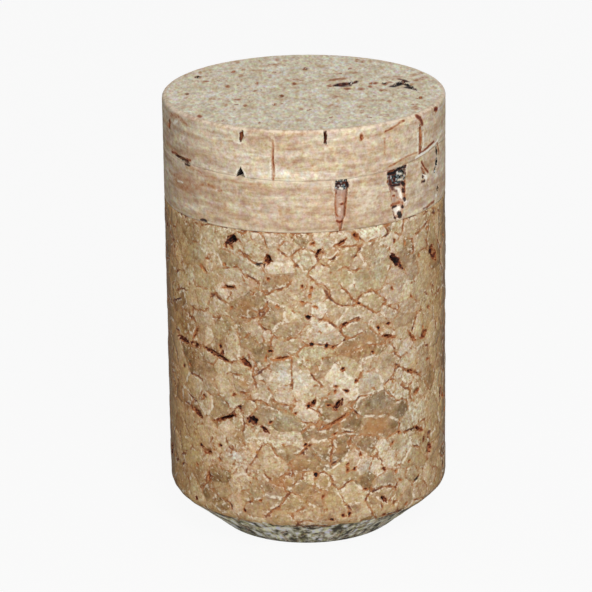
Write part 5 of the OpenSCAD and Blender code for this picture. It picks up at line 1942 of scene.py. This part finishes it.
def build_outer_disc():
    """The outer disc, with its rounded rim and the holes in its top."""
    skin = Skin(DISC_VALUES)
    rng = np.random.default_rng(13)
    low_w, high_w = upper_joint_z, outer_wall.outline.w[-1]
    pores = [Pore(unrolled(angle), *rest) for angle, *rest in OUTER_PORES]
    levels = [low_w + rise for rise in JOINT_ROWS] + list(np.linspace(cork_h - rim_r, high_w, 6)[:-1])
    flats, places = disc_wall_patch(skin, outer_wall, low_w, high_w, (low_w,), pores, levels, rng)
    joint_cap(skin, rim_places(flats, places, low_w), low_w, -1, rng)
    top_patch(skin, rim_places(flats, places, high_w), rng)
    return skin.build("outer_disc_cork", natural_cork("outer_natural_cork", 0.54))


def top_specks(reach, rng):
    """Small faint holes scattered over the top face."""
    pores = []
    while len(pores) < TOP_SPECKS:
        x, y = rng.uniform(-reach, reach, 2)
        if math.hypot(x, y) < reach - 0.8:
            size = rng.uniform(0.16, 0.34)
            length, slant, dark = size * rng.uniform(1, 2.4), rng.uniform(-60, 60), rng.uniform(0.05, 0.3)
            pores.append(Pore(x, y, size, length, 0, slant, TOP_SPECK_DEPTH, dark))
    return pores


def top_patch(skin, ring, rng):
    """The flat top face, with its holes and marks."""
    pores = [Pore(x * wall_r, y * wall_r, width, length, 0, slant, TOP_DEPTH, dark, 2.4)
             for x, y, width, length, slant, dark in TOP_HOLES]
    reach = wall_r - rim_r
    pores += top_specks(reach, rng)
    drawing = Drawing()
    drawing.chain(ring[:, :2], closed=True)
    loose = scattered((-reach, -reach), (reach, reach), DISC_STEP, rng)
    loose = loose[np.hypot(*loose.T) < reach - DISC_STEP * RING_CLEAR]

    def corner_count(pore):
        return TOP_CORNERS if pore.half_length > SMALL_PORE else FEW_CORNERS

    drawing.add(draw_pores(drawing, pores, loose, corner_count, TOP_CLEAR))
    flats, triangles, _ = drawing.triangles()
    flats, triangles = without_spare(flats, triangles)
    deep, dark, hole = pore_values(pores, flats)
    level = np.column_stack([flats, np.full(len(flats), cork_h)])
    rough = layered_noise(level, 0.9, 51)
    firm = smooth_step(reach, reach - 0.4, np.hypot(*flats.T))
    level[:, 2] -= (deep + TOP_ROUGH * (rough + 1)) * firm
    stain = np.maximum(TOP_SPOT_STRENGTH * spots(flats, TOP_SPOTS), strokes(flats, TOP_STREAKS))
    stain = stain * smooth_step(0.55, 0.4, hole)
    skin.add(level, triangles, flats[triangles], edge=1, hole=hole, dark=dark, stain=stain,
             black=strokes(flats, TOP_BLACK), top=1)


# Cork on the discs' side and on the top face, from dark to light.
SIDE_TONES = [(0.1, paint(166, 134, 102)), (0.4, paint(198, 172, 144)), (0.6, paint(212, 193, 168)),
              (0.85, paint(232, 217, 196))]
TOP_TONES = [(0.3, paint(208, 193, 166)), (0.5, paint(226, 214, 190)), (0.7, paint(238, 229, 212))]
# Floors of the pores from tan to black, and mould from black to white.
FLOOR_TONES = [(0.0, paint(214, 194, 164)), (0.12, paint(190, 164, 148)), (0.26, paint(172, 134, 116)),
               (0.44, paint(170, 108, 66)), (0.62, paint(100, 44, 26)), (0.76, paint(20, 15, 14))]
MOULD_TONES = [(0.42, paint(16, 17, 18)), (0.5, paint(58, 68, 72)), (0.57, paint(120, 134, 138)),
               (0.65, paint(222, 228, 226))]
# The discs' marks, from faint to strong.
MARK_TONES = {
    # stain: rusty marks and stains, with painted shade on the left side; pale: pale marks and painted
    # light.
    "stain": [(0.2, paint(200, 158, 118)), (0.5, paint(178, 118, 74)), (0.75, paint(132, 62, 36)),
              (1.0, paint(96, 32, 20))],
    "pale": [(0.3, paint(236, 224, 202)), (0.8, paint(248, 244, 234))],
    "black": [(0.2, paint(170, 116, 78)), (0.45, paint(112, 50, 34)), (0.68, paint(54, 22, 19)),
              (0.88, paint(13, 11, 12))],
}


def natural_cork(name, tone):
    """Natural cork: growth bands on the side, fine grain, and rusty or mouldy pores."""
    n = Nodes(name)
    bands = n.noise((10, 10, 1.1), 3.0, distortion=0.6)
    lines = n.noise((2, 2, 0.4), 2.0, shift=2.0, distortion=0.8)
    blotches = n.noise((1.4, 1.4, 0.9), 3.0, shift=4.0)
    flecks = n.noise(0.45, 3.0, shift=6.0)
    grain = n.noise(0.2, 2.0, shift=8.0)
    top = n.value("top")
    side_colour = n.ramp(n.swing(tone, (bands, 1.3), (blotches, 0.8)), SIDE_TONES)
    top_colour = n.ramp(n.noise((2.2, 4, 2.2), 4.0, shift=9.0), TOP_TONES)
    colour = n.mix(top, side_colour, top_colour)
    aside = n.smooth(top, 0.0, 1.0, 1.0, 0.0)
    colour = n.shaded(colour, CREAM, (grain, n.times(aside, 0.75)), (flecks, n.times(aside, 1.2)),
                      (lines, aside),
                      (n.noise((0.26, 0.6, 0.26), 2.0, shift=22.0), n.times(top, 1.35)),
                      (n.noise((0.55, 1.3, 0.55), 2.0, shift=23.0), n.times(top, 1.15)))
    colour = n.shaded(colour, YELLOW, (n.noise((0.5, 0.9, 0.5), 3.0, shift=16.0), 0.6), (blotches, 0.3))
    colour = n.shaded(colour, RED, (n.noise((0.5, 1, 0.5), 2.0, shift=24.0), 0.3))
    # Painted highlight: a pale band along the rounded top rim, where it catches the light.
    rim = n.times(n.smooth(n.height(), cork_h - 0.35, cork_h - 0.1), n.smooth(top, 0.5, 0.1),
                  n.smooth(flecks, 0.4, 0.6, 0.2, 0.8))
    colour = n.mix(rim, colour, paint(240, 222, 200))
    colour = disc_joints(n, colour)
    colour = disc_pores(n, colour, flecks)
    colour = disc_marks(n, colour, flecks)
    return n.finish(colour, n.swing(0.5, (grain, 1.0), (flecks, 1.0)), 0.3, 0.04)


def disc_pores(n, colour, flecks):
    """Painted highlights round the pores, rusty rims, and floors from tan to black or spotted with mould.
    """
    hole, dark = n.value("hole"), n.value("dark")
    # Painted highlight: a pale rim round each pore.
    highlight_rim = n.times(n.smooth(hole, 0.0, 0.4), n.smooth(flecks, 0.42, 0.52, 0.0, 0.5))
    colour = n.mix(highlight_rim, colour, paint(240, 226, 202))
    patches = n.noise((0.5, 0.5, 0.9), 3.0, shift=15.0)
    torn = n.swing(hole, (n.noise(0.22, 2.0, shift=17.0), 0.4), (flecks, 0.3))
    rim = n.times(n.smooth(torn, 0.56, 0.46), 0.22)
    floor = n.ramp(n.swing(n.math("ADD", dark, rim), (patches, 0.6)), FLOOR_TONES)
    mottled = n.ramp(n.noise(0.3, 2.0, shift=14.0), MOULD_TONES)
    floor = n.mix(n.smooth(n.value("mould"), 0.1, 0.5), floor, mottled)
    return n.mix(n.smooth(torn, 0.42, 0.52), colour, floor)


def disc_marks(n, colour, flecks):
    """Rusty, pale and black marks, ragged at their edges."""
    fine = n.noise((0.45, 0.45, 0.25), 3.0, shift=19.0)
    for name, tones in MARK_TONES.items():
        mark = n.swing(n.value(name), (flecks, 0.6), (fine, 0.8))
        share = n.times(n.smooth(mark, 0.0, 0.75, 0.0, 0.96), n.smooth(n.value(name), 0.0, 0.2))
        colour = n.mix(share, colour, n.ramp(mark, tones))
    return colour


def disc_joints(n, colour):
    """A fine gap at each glued joint, dark in places, with pale glue beside parts of it."""
    edge = n.swing(n.value("edge"), (n.noise(0.3, 2.0, shift=13.0), 0.2))
    along = n.noise(3.0, 3.0, shift=12.0)
    glue = n.times(n.smooth(edge, 0.34, 0.12), n.smooth(along, 0.45, 0.55), 0.5)
    colour = n.mix(glue, colour, paint(240, 224, 196))
    gap = n.times(n.smooth(edge, 0.13, 0.04), n.smooth(along, 0.56, 0.36, 0.0, 0.15))
    return n.mix(gap, colour, paint(150, 108, 74))


# ---------------------------------------------------------------- build

add_camera()
add_world()
add_floor()
add_lights()
bpy.context.scene.view_settings.view_transform = "Standard"

for build, slot, solid in ((build_body, "agglomerated_cork", BODY),
                           (build_inner_disc, "inner_natural_cork", INNER),
                           (build_outer_disc, "outer_natural_cork", OUTER)):
    piece = build()
    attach(piece, "root")
    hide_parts(solid)
